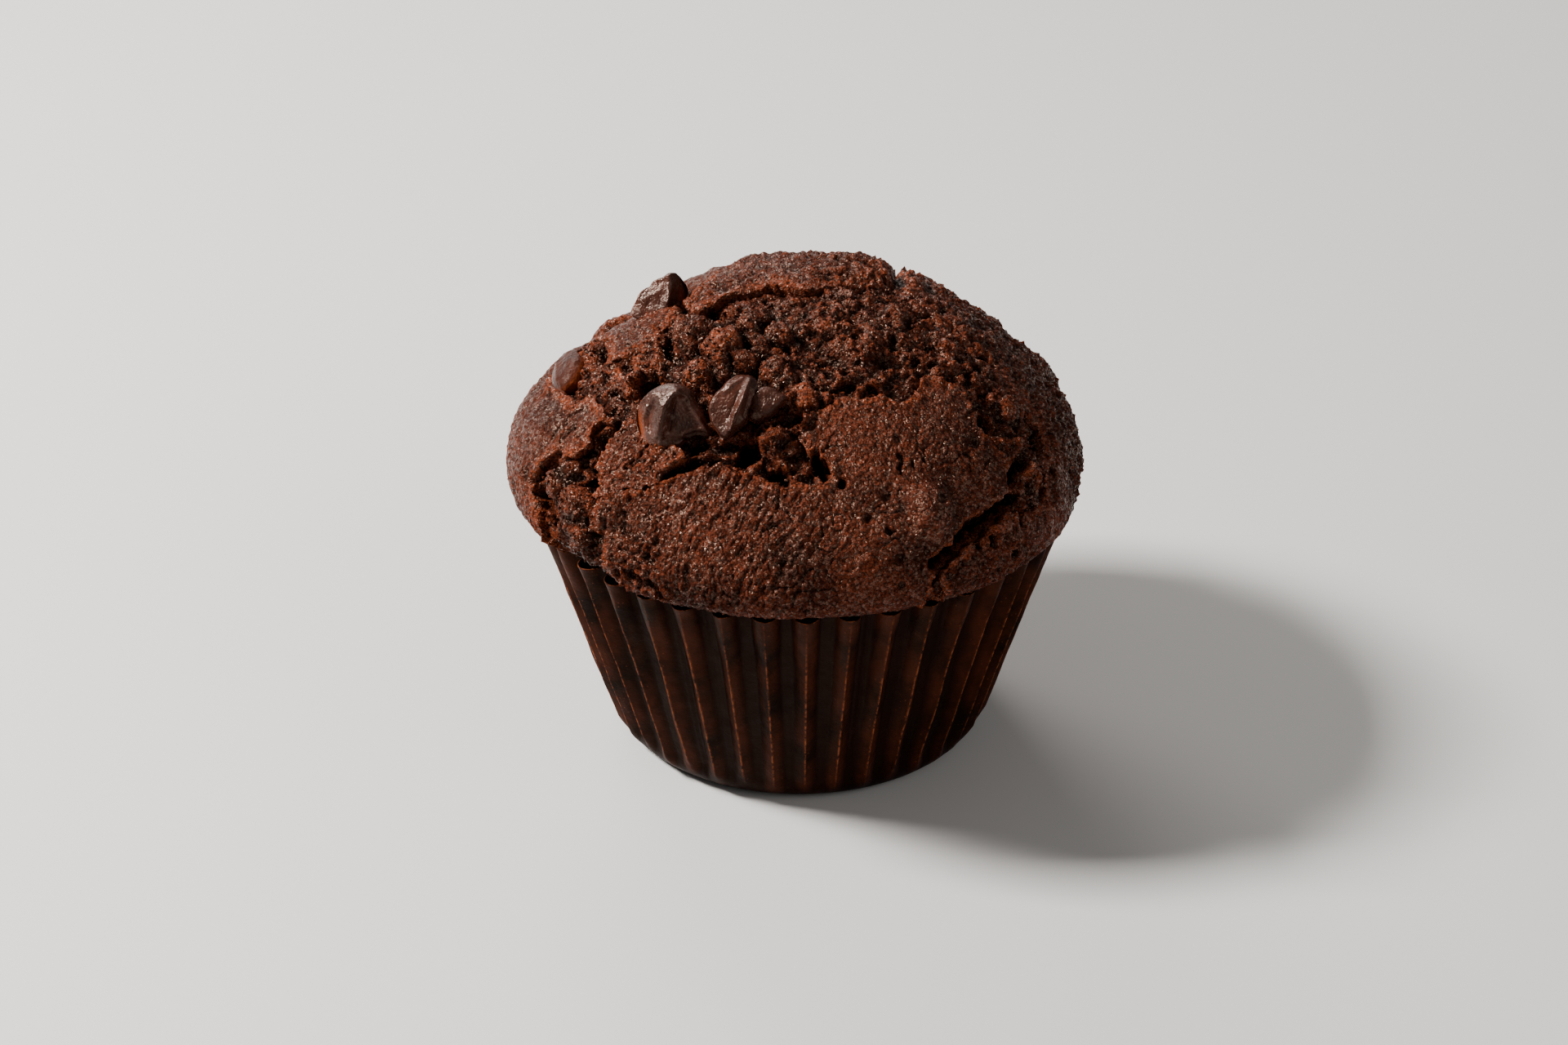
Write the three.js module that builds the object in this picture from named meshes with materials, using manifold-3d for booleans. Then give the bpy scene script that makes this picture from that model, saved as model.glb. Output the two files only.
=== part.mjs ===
// A chocolate muffin with chocolate chips, baked in a fluted paper case.
// Millimetres, +Z up. The origin is the centre of the case's flat foot, and the muffin's front faces -Y.
//
// The crown's relief is laid out on its unrolled surface: a point (x, y) there is as far from the
// crown's top as the surface is long, in the direction that it has seen from above. So (0, -40) is
// 40 mm down the front, and (30, 0) is 30 mm down the right side.

import * as THREE from "three";
import { mergeVertices } from "three/addons/utils/BufferGeometryUtils.js";
import Module from "manifold-3d";

// ---------------------------------------------------------------- driving dimensions

const CASE = {
  flutes: 40,
  turn: 0.025, // the first flute stands this far round from the front, in radians
  rimRadius: 35, // at the crests of the flutes
  rimHeight: 33.6,
  footRadius: 24.2, // where the slanting crest line would meet the floor
  cornerRadius: 4.8, // the bend from wall to foot
  fluteDepthAtRim: 2.4,
  fluteDepthAtFoot: 0.7,
  fluteEnd: 1.2, // height at which the flutes have died out
  bends: [3.4, 7], // heights between which the flutes come up to their depth
  wall: 0.4,
};

const CAKE = {
  girthRadius: 37.6,
  girthHeight: 38,
  crownHeight: 62.9,
  crownPower: 1.7, // 2 is an ellipse, and less is more pointed
  tuck: 34, // where the crust turns in over the case's rim
  gap: 0.35, // clear of the paper
  pullBack: 0.9, // how far the cake has shrunk out of each flute at the rim
};

const TORN_LEVEL = -1.5; // open crumb lies this far below the crust
const COLUMNS_PER_FLUTE = 5;
const COLUMNS = CASE.flutes * COLUMNS_PER_FLUTE;
const TURN = 2 * Math.PI;

// ---------------------------------------------------------------- the crown's layout

// Plates of whole crust, as outlines on the unrolled crown. What lies between them is torn open.
const CRUST = [
  // front, from the torn edge down to the rim
  [[-29.5, -34], [-29.5, -29.5], [-27.5, -27.8], [-25, -29.5], [-20, -30], [-15.5, -29.5], [-12, -29],
    [-9.5, -30.5], [-6.5, -33], [-3, -33.5], [1, -33.5], [4, -33], [4.5, -31], [1.5, -28.5], [0.5, -26],
    [0.5, -24], [4, -22.4], [7, -21.2], [10.5, -20.3], [14, -20], [15.5, -16], [18, -14.3], [21.5, -14.2],
    [23.8, -17], [24.2, -19.8], [28.5, -21], [29.3, -23.2], [31, -24.2], [30.5, -27], [27.5, -30],
    [22, -36.5], [19.5, -39], [21, -43], [26, -56], [0, -66], [-34, -56], [-31, -42]],
  // right side
  [[12, 30], [12.8, 8], [14, 2], [17, 0], [20, -3], [24, -7.5], [27, -9.5], [33, -8.5], [36.5, -10],
    [36.8, -14], [36.3, -18], [37.5, -20], [37.5, -23.5], [33, -28], [30, -30], [28.3, -32],
    [27, -34.8], [22, -40], [24, -45], [30, -56], [56, -40], [68, 0], [60, 30], [30, 40]],
  // middle left
  [[-25, -19.3], [-22.5, -19.3], [-21, -22], [-20, -25], [-17.5, -26.8], [-15.5, -29], [-20, -29.6],
    [-25, -28.8], [-28.2, -27.5], [-27.8, -24], [-26.5, -21.5]],
  // left side
  [[-36.5, -2], [-36, -5], [-33, -7.5], [-31.5, -10.3], [-28.8, -10.5], [-27, -14.5], [-24.5, -18.6],
    [-27.5, -17.8], [-29, -19.4], [-32, -18.5], [-35, -17.3], [-36, -15.8], [-40.5, -15.3], [-42, -20],
    [-43, -27], [-52, -36], [-68, 0], [-60, 20], [-37, 6]],
  // upper left
  [[-36, 4], [-29.5, 5], [-28.8, 1.5], [-26.8, 0], [-26.5, -4.5], [-22, -5.5], [-19, -4.5], [-17, -0.5],
    [-16, 4], [-16.5, 12], [-25, 30], [-40, 30]],
  // top
  [[-14.8, 7], [-15, 1], [-13, -0.8], [-10, 0], [-6, 0.3], [-3, -0.4], [0, -0.5], [3, 0.8], [7, 2.2],
    [11, 4], [12.4, 7], [12, 14], [6, 24], [-6, 26], [-14, 16]],
  // back
  [[-60, 12], [-30, 19], [-17, 17], [-8, 28], [7, 26], [16, 17], [34, 12], [60, 20], [50, 60], [-50, 60]],
];

// Hollows and holes: [x, y, radius, depth].
const PITS = [
  [-8, -27.8, 2.3, 4.6], [-3.8, -31.3, 1.6, 3], [2.8, -29.8, 1.5, 3], [-17.5, -28.2, 1.5, 2],
  [-21.3, -13, 2.1, 3.6], [-11.5, -2.2, 1.7, 2.4], [-28.3, -1.8, 1.6, 2.6], [-24, -7.5, 1.6, 2],
  [-40.5, -21, 1.7, 2.6], [-40, -25.6, 1.6, 2.4], [-30.3, -22.8, 2.2, 2.4], [25.2, -5.4, 1.3, 2.6],
  [33.3, -12.3, 1.6, 2.4], [34.4, -15.2, 1.9, 3], [25.4, -18.3, 1.7, 3], [30.6, -23.4, 1.5, 2.4],
  [36, -21.8, 1.6, 2], [2.2, -14.4, 1.6, 1.8], [-2.6, -12, 1.6, 1.8], [5, -19.4, 1.6, 1.6],
  [6.7, -7.8, 1.7, 1.4], [-15, 22, 1.9, 2.2], [20, 27, 1.8, 2.2],
];

// Crevices, as lines on the unrolled crown with a half width and a depth.
const CREVICES = [
  { line: [[31, -26.5], [28.6, -30.3], [26, -33.4], [23.3, -36.8], [20, -39.8]], half: 1.5, depth: 3 },
  { line: [[-25.4, -19], [-27.6, -21.2], [-29.5, -24], [-29.9, -28], [-30.6, -32]], half: 1.6, depth: 2.6 },
  { line: [[-41, -16.4], [-38, -16.6], [-35.2, -17.4]], half: 1.2, depth: 2.8 },
  { line: [[-15.6, 4], [-16.2, -2], [-17.4, -7], [-17.8, -11]], half: 1.5, depth: 2.6 },
  { line: [[7, 7.2], [10, 6.4], [12.4, 4.6]], half: 1.1, depth: 1.4 },
  { line: [[-24, 17], [-16, 19], [-8, 27], [6, 25.5], [15, 16]], half: 1.4, depth: 2 },
];

// Lumps, most of them chips that the batter covers: [x, y, radius, rise].
const LUMPS = [
  [-14, -6.3, 3.2, 2.6], [-16, -10.6, 2.3, 1.6], [-8, -5, 2.4, 1.8], [-4.6, -7, 2.4, 1.6],
  [-6, -12, 2.2, 1.6], [-10, -13, 2.9, 3.2], [-14, -15.6, 2.3, 2.4], [-7, -14.4, 2, 2.2],
  [-2.6, -17, 2.4, 1.8], [0, -21, 2.1, 1.5], [6, -17, 2.5, 1.3], [-2.8, -28, 2.6, 1.7],
  [-13.5, -27.4, 2.5, 1], [-34, -25, 2.8, 1.3], [-36.5, -21, 2.3, 1.2], [-27.3, -30.6, 2.8, 1.5],
  [18, -34.6, 4.3, 1.7], [33.5, -21.5, 2.4, 1.6], [8, -12, 2.8, 1.2], [13, -5, 3, 1],
  [-30, 27, 4, 1.4], [28, 20, 4.2, 1.5], [2, 38, 4, 1.3],
];

// Wide, low swells and dips of the whole crown: [x, y, radius, rise].
const SWELLS = [
  [8.5, 9, 6, 1.2], [-13, 9, 5, -1.2], [-25, 12, 8, -1.6], [26, 16, 9, -0.9], [46, 0, 22, -1.6],
  [28, 21, 9, -1.6], [0, 22, 22, -1], [-33, 20, 10, -1.4], [-26, 24, 8, -1.2], [-19, 19, 9, -2.4],
];

// Chocolate chips: where each stands on the unrolled crown, how far its base is over the crust, which
// way its point looks (right, up the crown, outward), its radius and its height.
const CHIPS = {
  chip_front_left: { at: [-17.8, -20.5], lift: -2, point: [0.5, 0, 1], radius: 4.5, height: 7.2 },
  chip_front_middle: { at: [-8.7, -18.6], lift: -1.7, point: [-0.3, -2, 1], radius: 3, height: 8.4 },
  chip_front_right: { at: [-3.9, -22.4], lift: -1.7, point: [0.4, -0.2, 1], radius: 2.6, height: 4.7 },
  chip_back_left: { at: [-20.9, 2.8], lift: -2.6, point: [1.1, -0.2, 1], radius: 4.3, height: 8.4 },
  chip_far_left: { at: [-33.3, 0], lift: -2.2, point: [0.1, -0.7, 1], radius: 4.2, height: 4.2 },
};
// The outline that every chip is turned from, as shares of its radius and height: a rounded foot, then
// a flank that draws in to a soft point.
const CHIP_OUTLINE = [[0.84, 0], [1, 0.14], [0.9, 0.38], [0.6, 0.64], [0.3, 0.84], [0.13, 0.95], [0, 1]];
const CHIP_ROUND = 14; // segments round a chip
const CHIP_STEPS = 9; // steps from its foot to its point
const CHIP_POCKET = 0.35; // the cake stays this far clear of it

// ---------------------------------------------------------------- small helpers

const clamp01 = (t) => Math.min(1, Math.max(0, t));
const smooth = (t) => clamp01(t) ** 2 * (3 - 2 * clamp01(t));
const mix = (a, b, t) => a + (b - a) * t;

// Distance from (x, y) to the segment a-b.
function toSegment(x, y, a, b) {
  const [dx, dy] = [b[0] - a[0], b[1] - a[1]];
  const t = clamp01(((x - a[0]) * dx + (y - a[1]) * dy) / (dx * dx + dy * dy));
  return Math.hypot(x - a[0] - t * dx, y - a[1] - t * dy);
}

// Distance to an outline's edge: positive inside, negative outside.
function insideBy(x, y, outline) {
  let nearest = Infinity;
  let inside = false;
  outline.forEach((a, i) => {
    const b = outline[(i + 1) % outline.length];
    nearest = Math.min(nearest, toSegment(x, y, a, b));
    if (a[1] > y !== b[1] > y && x < ((b[0] - a[0]) * (y - a[1])) / (b[1] - a[1]) + a[0]) inside = !inside;
  });
  return inside ? nearest : -nearest;
}

// A fixed, uneven value from -1 to 1 for each whole-numbered pair.
function scatter(i, j) {
  const s = Math.sin(i * 127.1 + j * 311.7) * 43758.5453;
  return 2 * (s - Math.floor(s)) - 1;
}

// Smooth noise from -1 to 1: scatter() blended between the four corners round (x, y).
function noise(x, y) {
  const [i, j] = [Math.floor(x), Math.floor(y)];
  const [u, v] = [smooth(x - i), smooth(y - j)];
  const low = mix(scatter(i, j), scatter(i + 1, j), u);
  const high = mix(scatter(i, j + 1), scatter(i + 1, j + 1), u);
  return mix(low, high, v);
}

// A solid for manifold-3d from a geometry of positions alone.
function solidOf(wasm, geometry) {
  const bare = geometry.index ? geometry.toNonIndexed() : geometry.clone();
  bare.deleteAttribute("normal");
  bare.deleteAttribute("uv");
  const merged = mergeVertices(bare, 1e-4);
  return new wasm.Manifold(
    new wasm.Mesh({
      numProp: 3,
      vertProperties: merged.attributes.position.array,
      triVerts: new Uint32Array(merged.index.array),
    }),
  );
}

function geometryOf(solid) {
  const mesh = solid.getMesh();
  const geometry = new THREE.BufferGeometry();
  geometry.setAttribute("position", new THREE.BufferAttribute(new Float32Array(mesh.vertProperties), 3));
  geometry.setIndex(new THREE.BufferAttribute(new Uint32Array(mesh.triVerts), 1));
  geometry.computeVertexNormals();
  return geometry;
}

// Closes a stack of rings of equal length into one skin. The first and last rings shrink to a point.
function skinOfRings(rings) {
  const n = rings[0].length;
  const positions = rings.flat(2);
  const faces = [];
  for (let k = 0; k + 1 < rings.length; k++) {
    for (let i = 0; i < n; i++) {
      const [a, b] = [k * n + i, k * n + ((i + 1) % n)];
      faces.push(a, b, b + n, a, b + n, a + n);
    }
  }
  const centre = (ring) => [0, 1, 2].map((c) => ring.reduce((sum, p) => sum + p[c], 0) / n);
  const low = positions.length / 3;
  positions.push(...centre(rings[0]), ...centre(rings.at(-1)));
  const last = (rings.length - 1) * n;
  for (let i = 0; i < n; i++) {
    const next = (i + 1) % n;
    faces.push(low, next, i, low + 1, last + i, last + next);
  }
  const geometry = new THREE.BufferGeometry();
  geometry.setAttribute("position", new THREE.Float32BufferAttribute(positions, 3));
  geometry.setIndex(faces);
  return geometry;
}

// ---------------------------------------------------------------- the paper case

// The flute's wave round the case: 1 along a crest and 0 along a valley, with steep sides between.
function fluteWave(angle) {
  return smooth(0.5 + 0.75 * Math.cos((angle - CASE.turn) * CASE.flutes));
}

const fluteDepth = (z) =>
  mix(CASE.fluteDepthAtFoot, CASE.fluteDepthAtRim, clamp01(z / CASE.rimHeight)) *
  smooth((z - CASE.fluteEnd) / (CASE.cornerRadius * 1.2));

// Radius of the crest line at height z: a rounded corner, then a straight slant.
const slant = Math.atan2(CASE.rimRadius - CASE.footRadius, CASE.rimHeight);
const cornerCentre = CASE.footRadius + CASE.cornerRadius * (Math.tan(slant) - 1 / Math.cos(slant));
const cornerTop = CASE.cornerRadius * (1 - Math.sin(slant));

function crestRadius(z) {
  if (z >= cornerTop) return CASE.footRadius + z * Math.tan(slant);
  const down = Math.min(CASE.cornerRadius - Math.max(z, 0), CASE.cornerRadius);
  return cornerCentre + Math.sqrt(CASE.cornerRadius ** 2 - down ** 2);
}

// Outer face of the paper at an angle and height.
const caseOuter = (angle, z) => crestRadius(z) - fluteDepth(z) * (1 - fluteWave(angle));

const angleOf = (column) => (column / COLUMNS) * TURN + CASE.turn;
// Angle 0 is the front, and it grows towards the right.
const place = (angle, radius, z) => [radius * Math.sin(angle), -radius * Math.cos(angle), z];
const ringAt = (radiusAt, zAt) =>
  Array.from({ length: COLUMNS }, (_, i) => place(angleOf(i), radiusAt(angleOf(i)), zAt(angleOf(i))));

function paperCase() {
  const heights = [0, 0.5, 1.7, ...CASE.bends, CASE.rimHeight];
  const outside = heights.map((z) => ringAt((a) => caseOuter(a, z), () => z));
  const inside = heights.map((z) => {
    const lifted = Math.max(z, CASE.wall + 0.12 * z * (z < cornerTop));
    return ringAt((a) => caseOuter(a, z) - CASE.wall * (z === 0 ? 2 : 1), () => lifted);
  });
  return skinOfRings([...outside, ...inside.reverse()]);
}

// ---------------------------------------------------------------- the cake

// The crown's profile as points of [arc length, radius, height], from the top to the tuck.
const profile = (() => {
  const points = [];
  const above = 160;
  for (let i = 0; i <= above; i++) {
    const t = (Math.PI / 2) * (1 - i / above);
    points.push([
      CAKE.girthRadius * Math.cos(t) ** (2 / CAKE.crownPower),
      CAKE.girthHeight + (CAKE.crownHeight - CAKE.girthHeight) * Math.sin(t) ** (2 / CAKE.crownPower),
    ]);
  }
  const below = 30;
  const rimTop = CASE.rimHeight + CAKE.gap;
  for (let i = 1; i <= below; i++) {
    const t = ((Math.PI / 2) * i) / below;
    points.push([
      CAKE.tuck + (CAKE.girthRadius - CAKE.tuck) * Math.cos(t),
      CAKE.girthHeight - (CAKE.girthHeight - rimTop) * Math.sin(t),
    ]);
  }
  let arc = 0;
  return points.map((p, i) => {
    if (i) arc += Math.hypot(p[0] - points[i - 1][0], p[1] - points[i - 1][1]);
    return [arc, ...p];
  });
})();
const crownArc = profile.at(-1)[0];

// Radius and height of the smooth crown at an arc length from its top.
function crownAt(arc) {
  const wanted = Math.min(arc, crownArc);
  const k = Math.max(1, profile.findIndex((p) => p[0] >= wanted));
  const [a, b] = [profile[k - 1], profile[k]];
  const t = (wanted - a[0]) / (b[0] - a[0]);
  return [mix(a[1], b[1], t), mix(a[2], b[2], t)];
}

// The smooth crown's point and outward normal under (x, y) of the unrolled surface.
function crownFrame(x, y) {
  const arc = Math.hypot(x, y);
  const angle = Math.atan2(x, -y);
  const step = 0.4;
  const [r0, z0] = crownAt(Math.max(arc - step, 0));
  const [r1, z1] = crownAt(Math.min(arc + step, crownArc));
  const [r, z] = crownAt(arc);
  const along = Math.hypot(r1 - r0, z1 - z0);
  const normal = arc < step ? [0, 0, 1] : place(angle, (z0 - z1) / along, (r1 - r0) / along);
  return { point: place(angle, r, z), normal, angle };
}

// How far the real surface lies outside the smooth crown.
function relief(x, y) {
  const wander = 0.7;
  const [wx, wy] = [x + wander * noise(x / 3 + 9, y / 3), y + wander * noise(x / 3, y / 3 + 5)];
  const inside = Math.max(...CRUST.map((outline) => insideBy(wx, wy, outline)));
  const crust = smooth((inside + 0.6) / 1.4);
  const crown = 0.5 * smooth(inside / 7) + 0.35 * noise(x / 9, y / 9);
  const crumb = TORN_LEVEL + 0.8 * noise(x / 3.6, y / 3.6) + 0.45 * noise(x / 2.2, y / 2.2);
  let height = mix(crumb, crown, crust);
  for (const [px, py, radius, rise] of [...LUMPS, ...SWELLS]) {
    height += rise * smooth(1.35 - Math.hypot(x - px, y - py) / radius);
  }
  for (const [px, py, radius, depth] of PITS) {
    height -= depth * smooth(1.5 - Math.hypot(x - px, y - py) / radius);
  }
  for (const { line, half, depth } of CREVICES) {
    const away = Math.min(...line.slice(1).map((end, i) => toSegment(x, y, line[i], end)));
    height -= depth * smooth(1.4 - away / half);
  }
  return height * smooth((crownArc - 1.5 - Math.hypot(x, y)) / 5);
}

// A square grid pressed into a disc, so that its cells stay alike: each square ring becomes a circle.
// Its outermost ring has COLUMNS points, the same as a ring of the case.
const GRID = COLUMNS / 4;

function discPoint(i, j) {
  const [u, v] = [(2 * i) / GRID - 1, (2 * j) / GRID - 1];
  const arc = Math.max(Math.abs(u), Math.abs(v));
  if (arc === 0) return [0, 0];
  const eighth = Math.PI / 4;
  const angle =
    Math.abs(u) > Math.abs(v)
      ? (u > 0 ? 2 : 6) * eighth + (v / u) * eighth
      : (v > 0 ? 4 : 0) * eighth - (u / v) * eighth;
  return [arc, angle + CASE.turn];
}

// Radius of the cake inside the case, which has shrunk back out of the flutes near the rim.
function bodyRadius(angle, z) {
  const shrink = CAKE.pullBack * smooth((z - 20) / 14) * fluteWave(angle);
  return caseOuter(angle, z) - CASE.wall - CAKE.gap - shrink;
}

function cakeSkin() {
  const positions = [];
  const faces = [];
  const rimTop = CASE.rimHeight + CAKE.gap;
  const at = (i, j) => i * (GRID + 1) + j;
  for (let i = 0; i <= GRID; i++) {
    for (let j = 0; j <= GRID; j++) {
      const [share, angle] = discPoint(i, j);
      if (share === 1) {
        positions.push(...place(angle, bodyRadius(angle, CASE.rimHeight), rimTop));
        continue;
      }
      const [x, y] = [share * crownArc * Math.sin(angle), -share * crownArc * Math.cos(angle)];
      const { point, normal } = crownFrame(x, y);
      const height = relief(x, y);
      positions.push(...point.map((c, k) => c + height * normal[k]));
    }
  }
  for (let i = 0; i < GRID; i++) {
    for (let j = 0; j < GRID; j++) {
      const [a, b, c, d] = [at(i, j), at(i + 1, j), at(i + 1, j + 1), at(i, j + 1)];
      const mainDiagonal = i < GRID / 2 === j < GRID / 2;
      if (mainDiagonal) faces.push(a, b, c, a, c, d);
      else faces.push(a, b, d, b, c, d);
    }
  }
  // The grid's edge, in the order of the columns round the case.
  const edge = [];
  for (let i = 0; i <= GRID; i++) {
    for (let j = 0; j <= GRID; j++) {
      const [share, angle] = discPoint(i, j);
      const column = Math.round((((angle - CASE.turn) / TURN + 1) % 1) * COLUMNS) % COLUMNS;
      if (share === 1) edge.push([column, at(i, j)]);
    }
  }
  edge.sort((a, b) => a[0] - b[0]);
  const heights = [24, ...CASE.bends.toReversed(), CASE.wall + CAKE.gap];
  let upper = edge.map(([, index]) => index);
  for (const z of heights) {
    const first = positions.length / 3;
    ringAt((a) => bodyRadius(a, z), () => z).forEach((p) => positions.push(...p));
    upper.forEach((a, i) => {
      const b = upper[(i + 1) % COLUMNS];
      const [c, d] = [first + i, first + ((i + 1) % COLUMNS)];
      faces.push(a, c, b, b, c, d);
    });
    upper = upper.map((_, i) => first + i);
  }
  const foot = positions.length / 3;
  positions.push(0, 0, heights.at(-1));
  upper.forEach((a, i) => faces.push(a, foot, upper[(i + 1) % COLUMNS]));
  const geometry = new THREE.BufferGeometry();
  geometry.setAttribute("position", new THREE.Float32BufferAttribute(positions, 3));
  geometry.setIndex(faces);
  return geometry;
}

// ---------------------------------------------------------------- chocolate chips

// A chip turned round its own axis, with its foot level. The pocket round it is the same form, larger
// by grow on every side.
function chipGeometry({ radius, height }, grow) {
  const [wide, tall] = [radius + grow, height + 2.5 * grow];
  const points = CHIP_OUTLINE.map(([r, h]) => new THREE.Vector2(r * wide, h * tall));
  const flank = new THREE.SplineCurve(points).getPoints(CHIP_STEPS);
  flank[CHIP_STEPS].x = 0;
  return new THREE.LatheGeometry([new THREE.Vector2(0, 0), ...flank], CHIP_ROUND).translate(0, -grow, 0);
}

// Stands a mesh on the crown, with its own axis along the chip's point.
function standChip(object, chip) {
  const [x, y] = chip.at;
  const { point, normal, angle } = crownFrame(x, y);
  const outward = new THREE.Vector3(...normal);
  const round = new THREE.Vector3(Math.cos(angle), Math.sin(angle), 0);
  const climb = new THREE.Vector3().crossVectors(outward, round);
  // The unrolled surface's own x and y directions, from those round the crown and up to its top.
  const across = round.clone().multiplyScalar(Math.cos(angle)).addScaledVector(climb, -Math.sin(angle));
  const upward = round.clone().multiplyScalar(Math.sin(angle)).addScaledVector(climb, Math.cos(angle));
  const axis = new THREE.Vector3()
    .addScaledVector(across, chip.point[0])
    .addScaledVector(upward, chip.point[1])
    .addScaledVector(outward, chip.point[2])
    .normalize();
  object.position.set(...point).addScaledVector(outward, chip.lift);
  object.quaternion.setFromUnitVectors(new THREE.Vector3(0, 1, 0), axis);
  object.updateMatrix();
}

// ---------------------------------------------------------------- the muffin

const wasm = await Module();
wasm.setup();

const bakedCrust = new THREE.MeshStandardMaterial({ color: 0x4a2818, roughness: 0.8, metalness: 0 });
const brownPaper = new THREE.MeshStandardMaterial({ color: 0x33190f, roughness: 0.6, metalness: 0 });
const darkChocolate = new THREE.MeshStandardMaterial({ color: 0x2a1610, roughness: 0.4, metalness: 0 });

const muffin = new THREE.Group();

function add(name, geometry, material) {
  const mesh = new THREE.Mesh(geometry, material);
  mesh.name = name;
  muffin.add(mesh);
  return mesh;
}

let cake = solidOf(wasm, cakeSkin());
for (const [name, chip] of Object.entries(CHIPS)) {
  standChip(add(name, chipGeometry(chip, 0), darkChocolate), chip);
  const pocket = new THREE.Mesh(chipGeometry(chip, CHIP_POCKET));
  standChip(pocket, chip);
  cake = cake.subtract(solidOf(wasm, pocket.geometry.applyMatrix4(pocket.matrix)));
}
const largest = cake.decompose().sort((a, b) => b.volume() - a.volume())[0];
add("cake", geometryOf(largest), bakedCrust);
add("paper_case", paperCase(), brownPaper);

export default muffin;
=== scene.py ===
# %% [markdown]
# # A chocolate muffin in a fluted paper case
#
# A muffin is a stiff batter that rises out of a pleated paper cup. The hot air sets its skin first, the
# middle goes on rising, and the skin tears into plates of smooth crust with wet, lumpy crumb between
# them. Chocolate chips poke out of the tears. This notebook makes those surfaces from formulas, round a
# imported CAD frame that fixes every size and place.

# %% Load the frame
from itertools import product

import bpy
import numpy as np
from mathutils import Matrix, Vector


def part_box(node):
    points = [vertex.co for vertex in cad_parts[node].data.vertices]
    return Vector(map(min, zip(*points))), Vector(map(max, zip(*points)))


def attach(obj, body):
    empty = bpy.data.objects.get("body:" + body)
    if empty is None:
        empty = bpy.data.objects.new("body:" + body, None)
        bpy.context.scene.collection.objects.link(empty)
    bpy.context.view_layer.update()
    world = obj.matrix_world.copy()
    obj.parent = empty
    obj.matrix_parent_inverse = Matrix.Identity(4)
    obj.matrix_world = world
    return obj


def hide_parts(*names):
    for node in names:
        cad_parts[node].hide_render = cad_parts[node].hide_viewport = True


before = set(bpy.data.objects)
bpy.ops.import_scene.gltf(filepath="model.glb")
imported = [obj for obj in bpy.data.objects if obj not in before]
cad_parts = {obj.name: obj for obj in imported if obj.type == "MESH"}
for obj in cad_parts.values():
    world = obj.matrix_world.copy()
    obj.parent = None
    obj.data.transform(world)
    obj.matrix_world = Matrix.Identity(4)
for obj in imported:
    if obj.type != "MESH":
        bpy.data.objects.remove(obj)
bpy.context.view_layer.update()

print("nodes in the frame:", sorted(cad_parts))

# %% [markdown]
# ## Sizes
#
# Everything below is worked out in millimetres and becomes metres when a mesh is made. The frame gives
# the height and radius of the case's rim. A few more sizes say how the profiles bend. They could all be
# read off the CAD meshes, but named sizes can be changed and show what each formula depends on.

# %% Sizes in millimetres
MM = 0.001
case_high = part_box("paper_case")[1]
cake_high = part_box("cake")[1]

RIM_RADIUS = case_high.x / MM
RIM_HEIGHT = case_high.z / MM
FOOT_RADIUS = 24.2  # where the slanting crest line would meet the floor
CORNER_RADIUS = 4.8  # of the bend from the foot to the wall
FLUTES = 40
FLUTE_TURN = 0.025  # the first flute stands this far round from the front, in radians
GIRTH_RADIUS = 37.6  # of the crown at its widest place
GIRTH_HEIGHT = 38.0  # of that place
CROWN_HEIGHT = 62.9  # of the crown's top, before swells and lumps
CROWN_POWER = 1.7  # 2 would be a ball, 1 a cone
TUCK_RADIUS = 34.0  # of the crust's lower edge
PAPER_GAP = 0.35  # between that edge and the rim
FULL_TURN = 2 * np.pi
print(f"case {2 * RIM_RADIUS:.1f} across and {RIM_HEIGHT:.1f} high, muffin {cake_high.z / MM:.1f} high")

# %% [markdown]
# ## Noise
#
# Baked surfaces look random, but each kind of roughness has its own size. Four noises cover them all.
# Gradient noise makes smooth swells. Nodules are round bumps packed side by side, like grains of crumb.
# Billows are puffed folds with sharp creases between them, like batter that tore while it set. Pores are
# scattered round holes, left by steam. Blender's own textures hold similar patterns, but numpy gives
# them as arrays, so that one pattern can move points and colour them too. All start from a fixed
# scrambling of whole-numbered points, so the muffin comes out the same on every run.

# %% Smooth steps and lattice values
def smooth(t):
    """0 below t = 0, 1 above t = 1, and 3 t squared - 2 t cubed between."""
    t = np.clip(t, 0, 1)
    return t * t * (3 - 2 * t)


def mix(a, b, t):
    """a where t is 0, b where t is 1."""
    return a + (b - a) * t


def hump(distance, half):
    """A bell: 1 at distance 0, and e to the minus 1 at distance half."""
    return np.exp(-((distance / half) ** 2))


def lattice(points, salt):
    """A fixed random number from 0 to 1 for each whole-numbered point: the coordinates times large
    primes, folded onto themselves twice by shifts and products, and divided by the largest integer."""
    mask = 0xFFFFFFFF
    h = (points @ np.array([374761393, 668265263, 1274126177]) + salt * 362437) & mask
    h = ((h ^ (h >> 13)) * 1274126177) & mask
    h = ((h ^ (h >> 16)) * 1103515245) & mask
    return (h ^ (h >> 15)) / mask


# %% Gradient noise
def noise(points, size, salt=0):
    """Gradient noise from about -1 to 1 with swells of the given size: each lattice corner has a random
    slope, and the eight planes round a point are blended by the quintic step 6 t5 - 15 t4 + 10 t3."""
    q = points / size
    cell = np.floor(q).astype(np.int64)
    f = q - cell
    step = f**3 * (f * (f * 6 - 15) + 10)
    total = np.zeros(q.shape[:-1])
    for corner in product((0, 1), repeat=3):
        at = cell + corner
        slope = np.stack([lattice(at, salt + k) for k in range(3)], -1) * 2 - 1
        weight = np.prod(np.where(corner, step, 1 - step), -1)
        total += weight * np.sum(slope * (f - corner), -1)
    return 1.7 * total


def noise_vector(points, size, salt):
    """Three gradient noises, as a direction to push points in."""
    return np.stack([noise(points, size, salt + 5 * k) for k in range(3)], -1)


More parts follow.
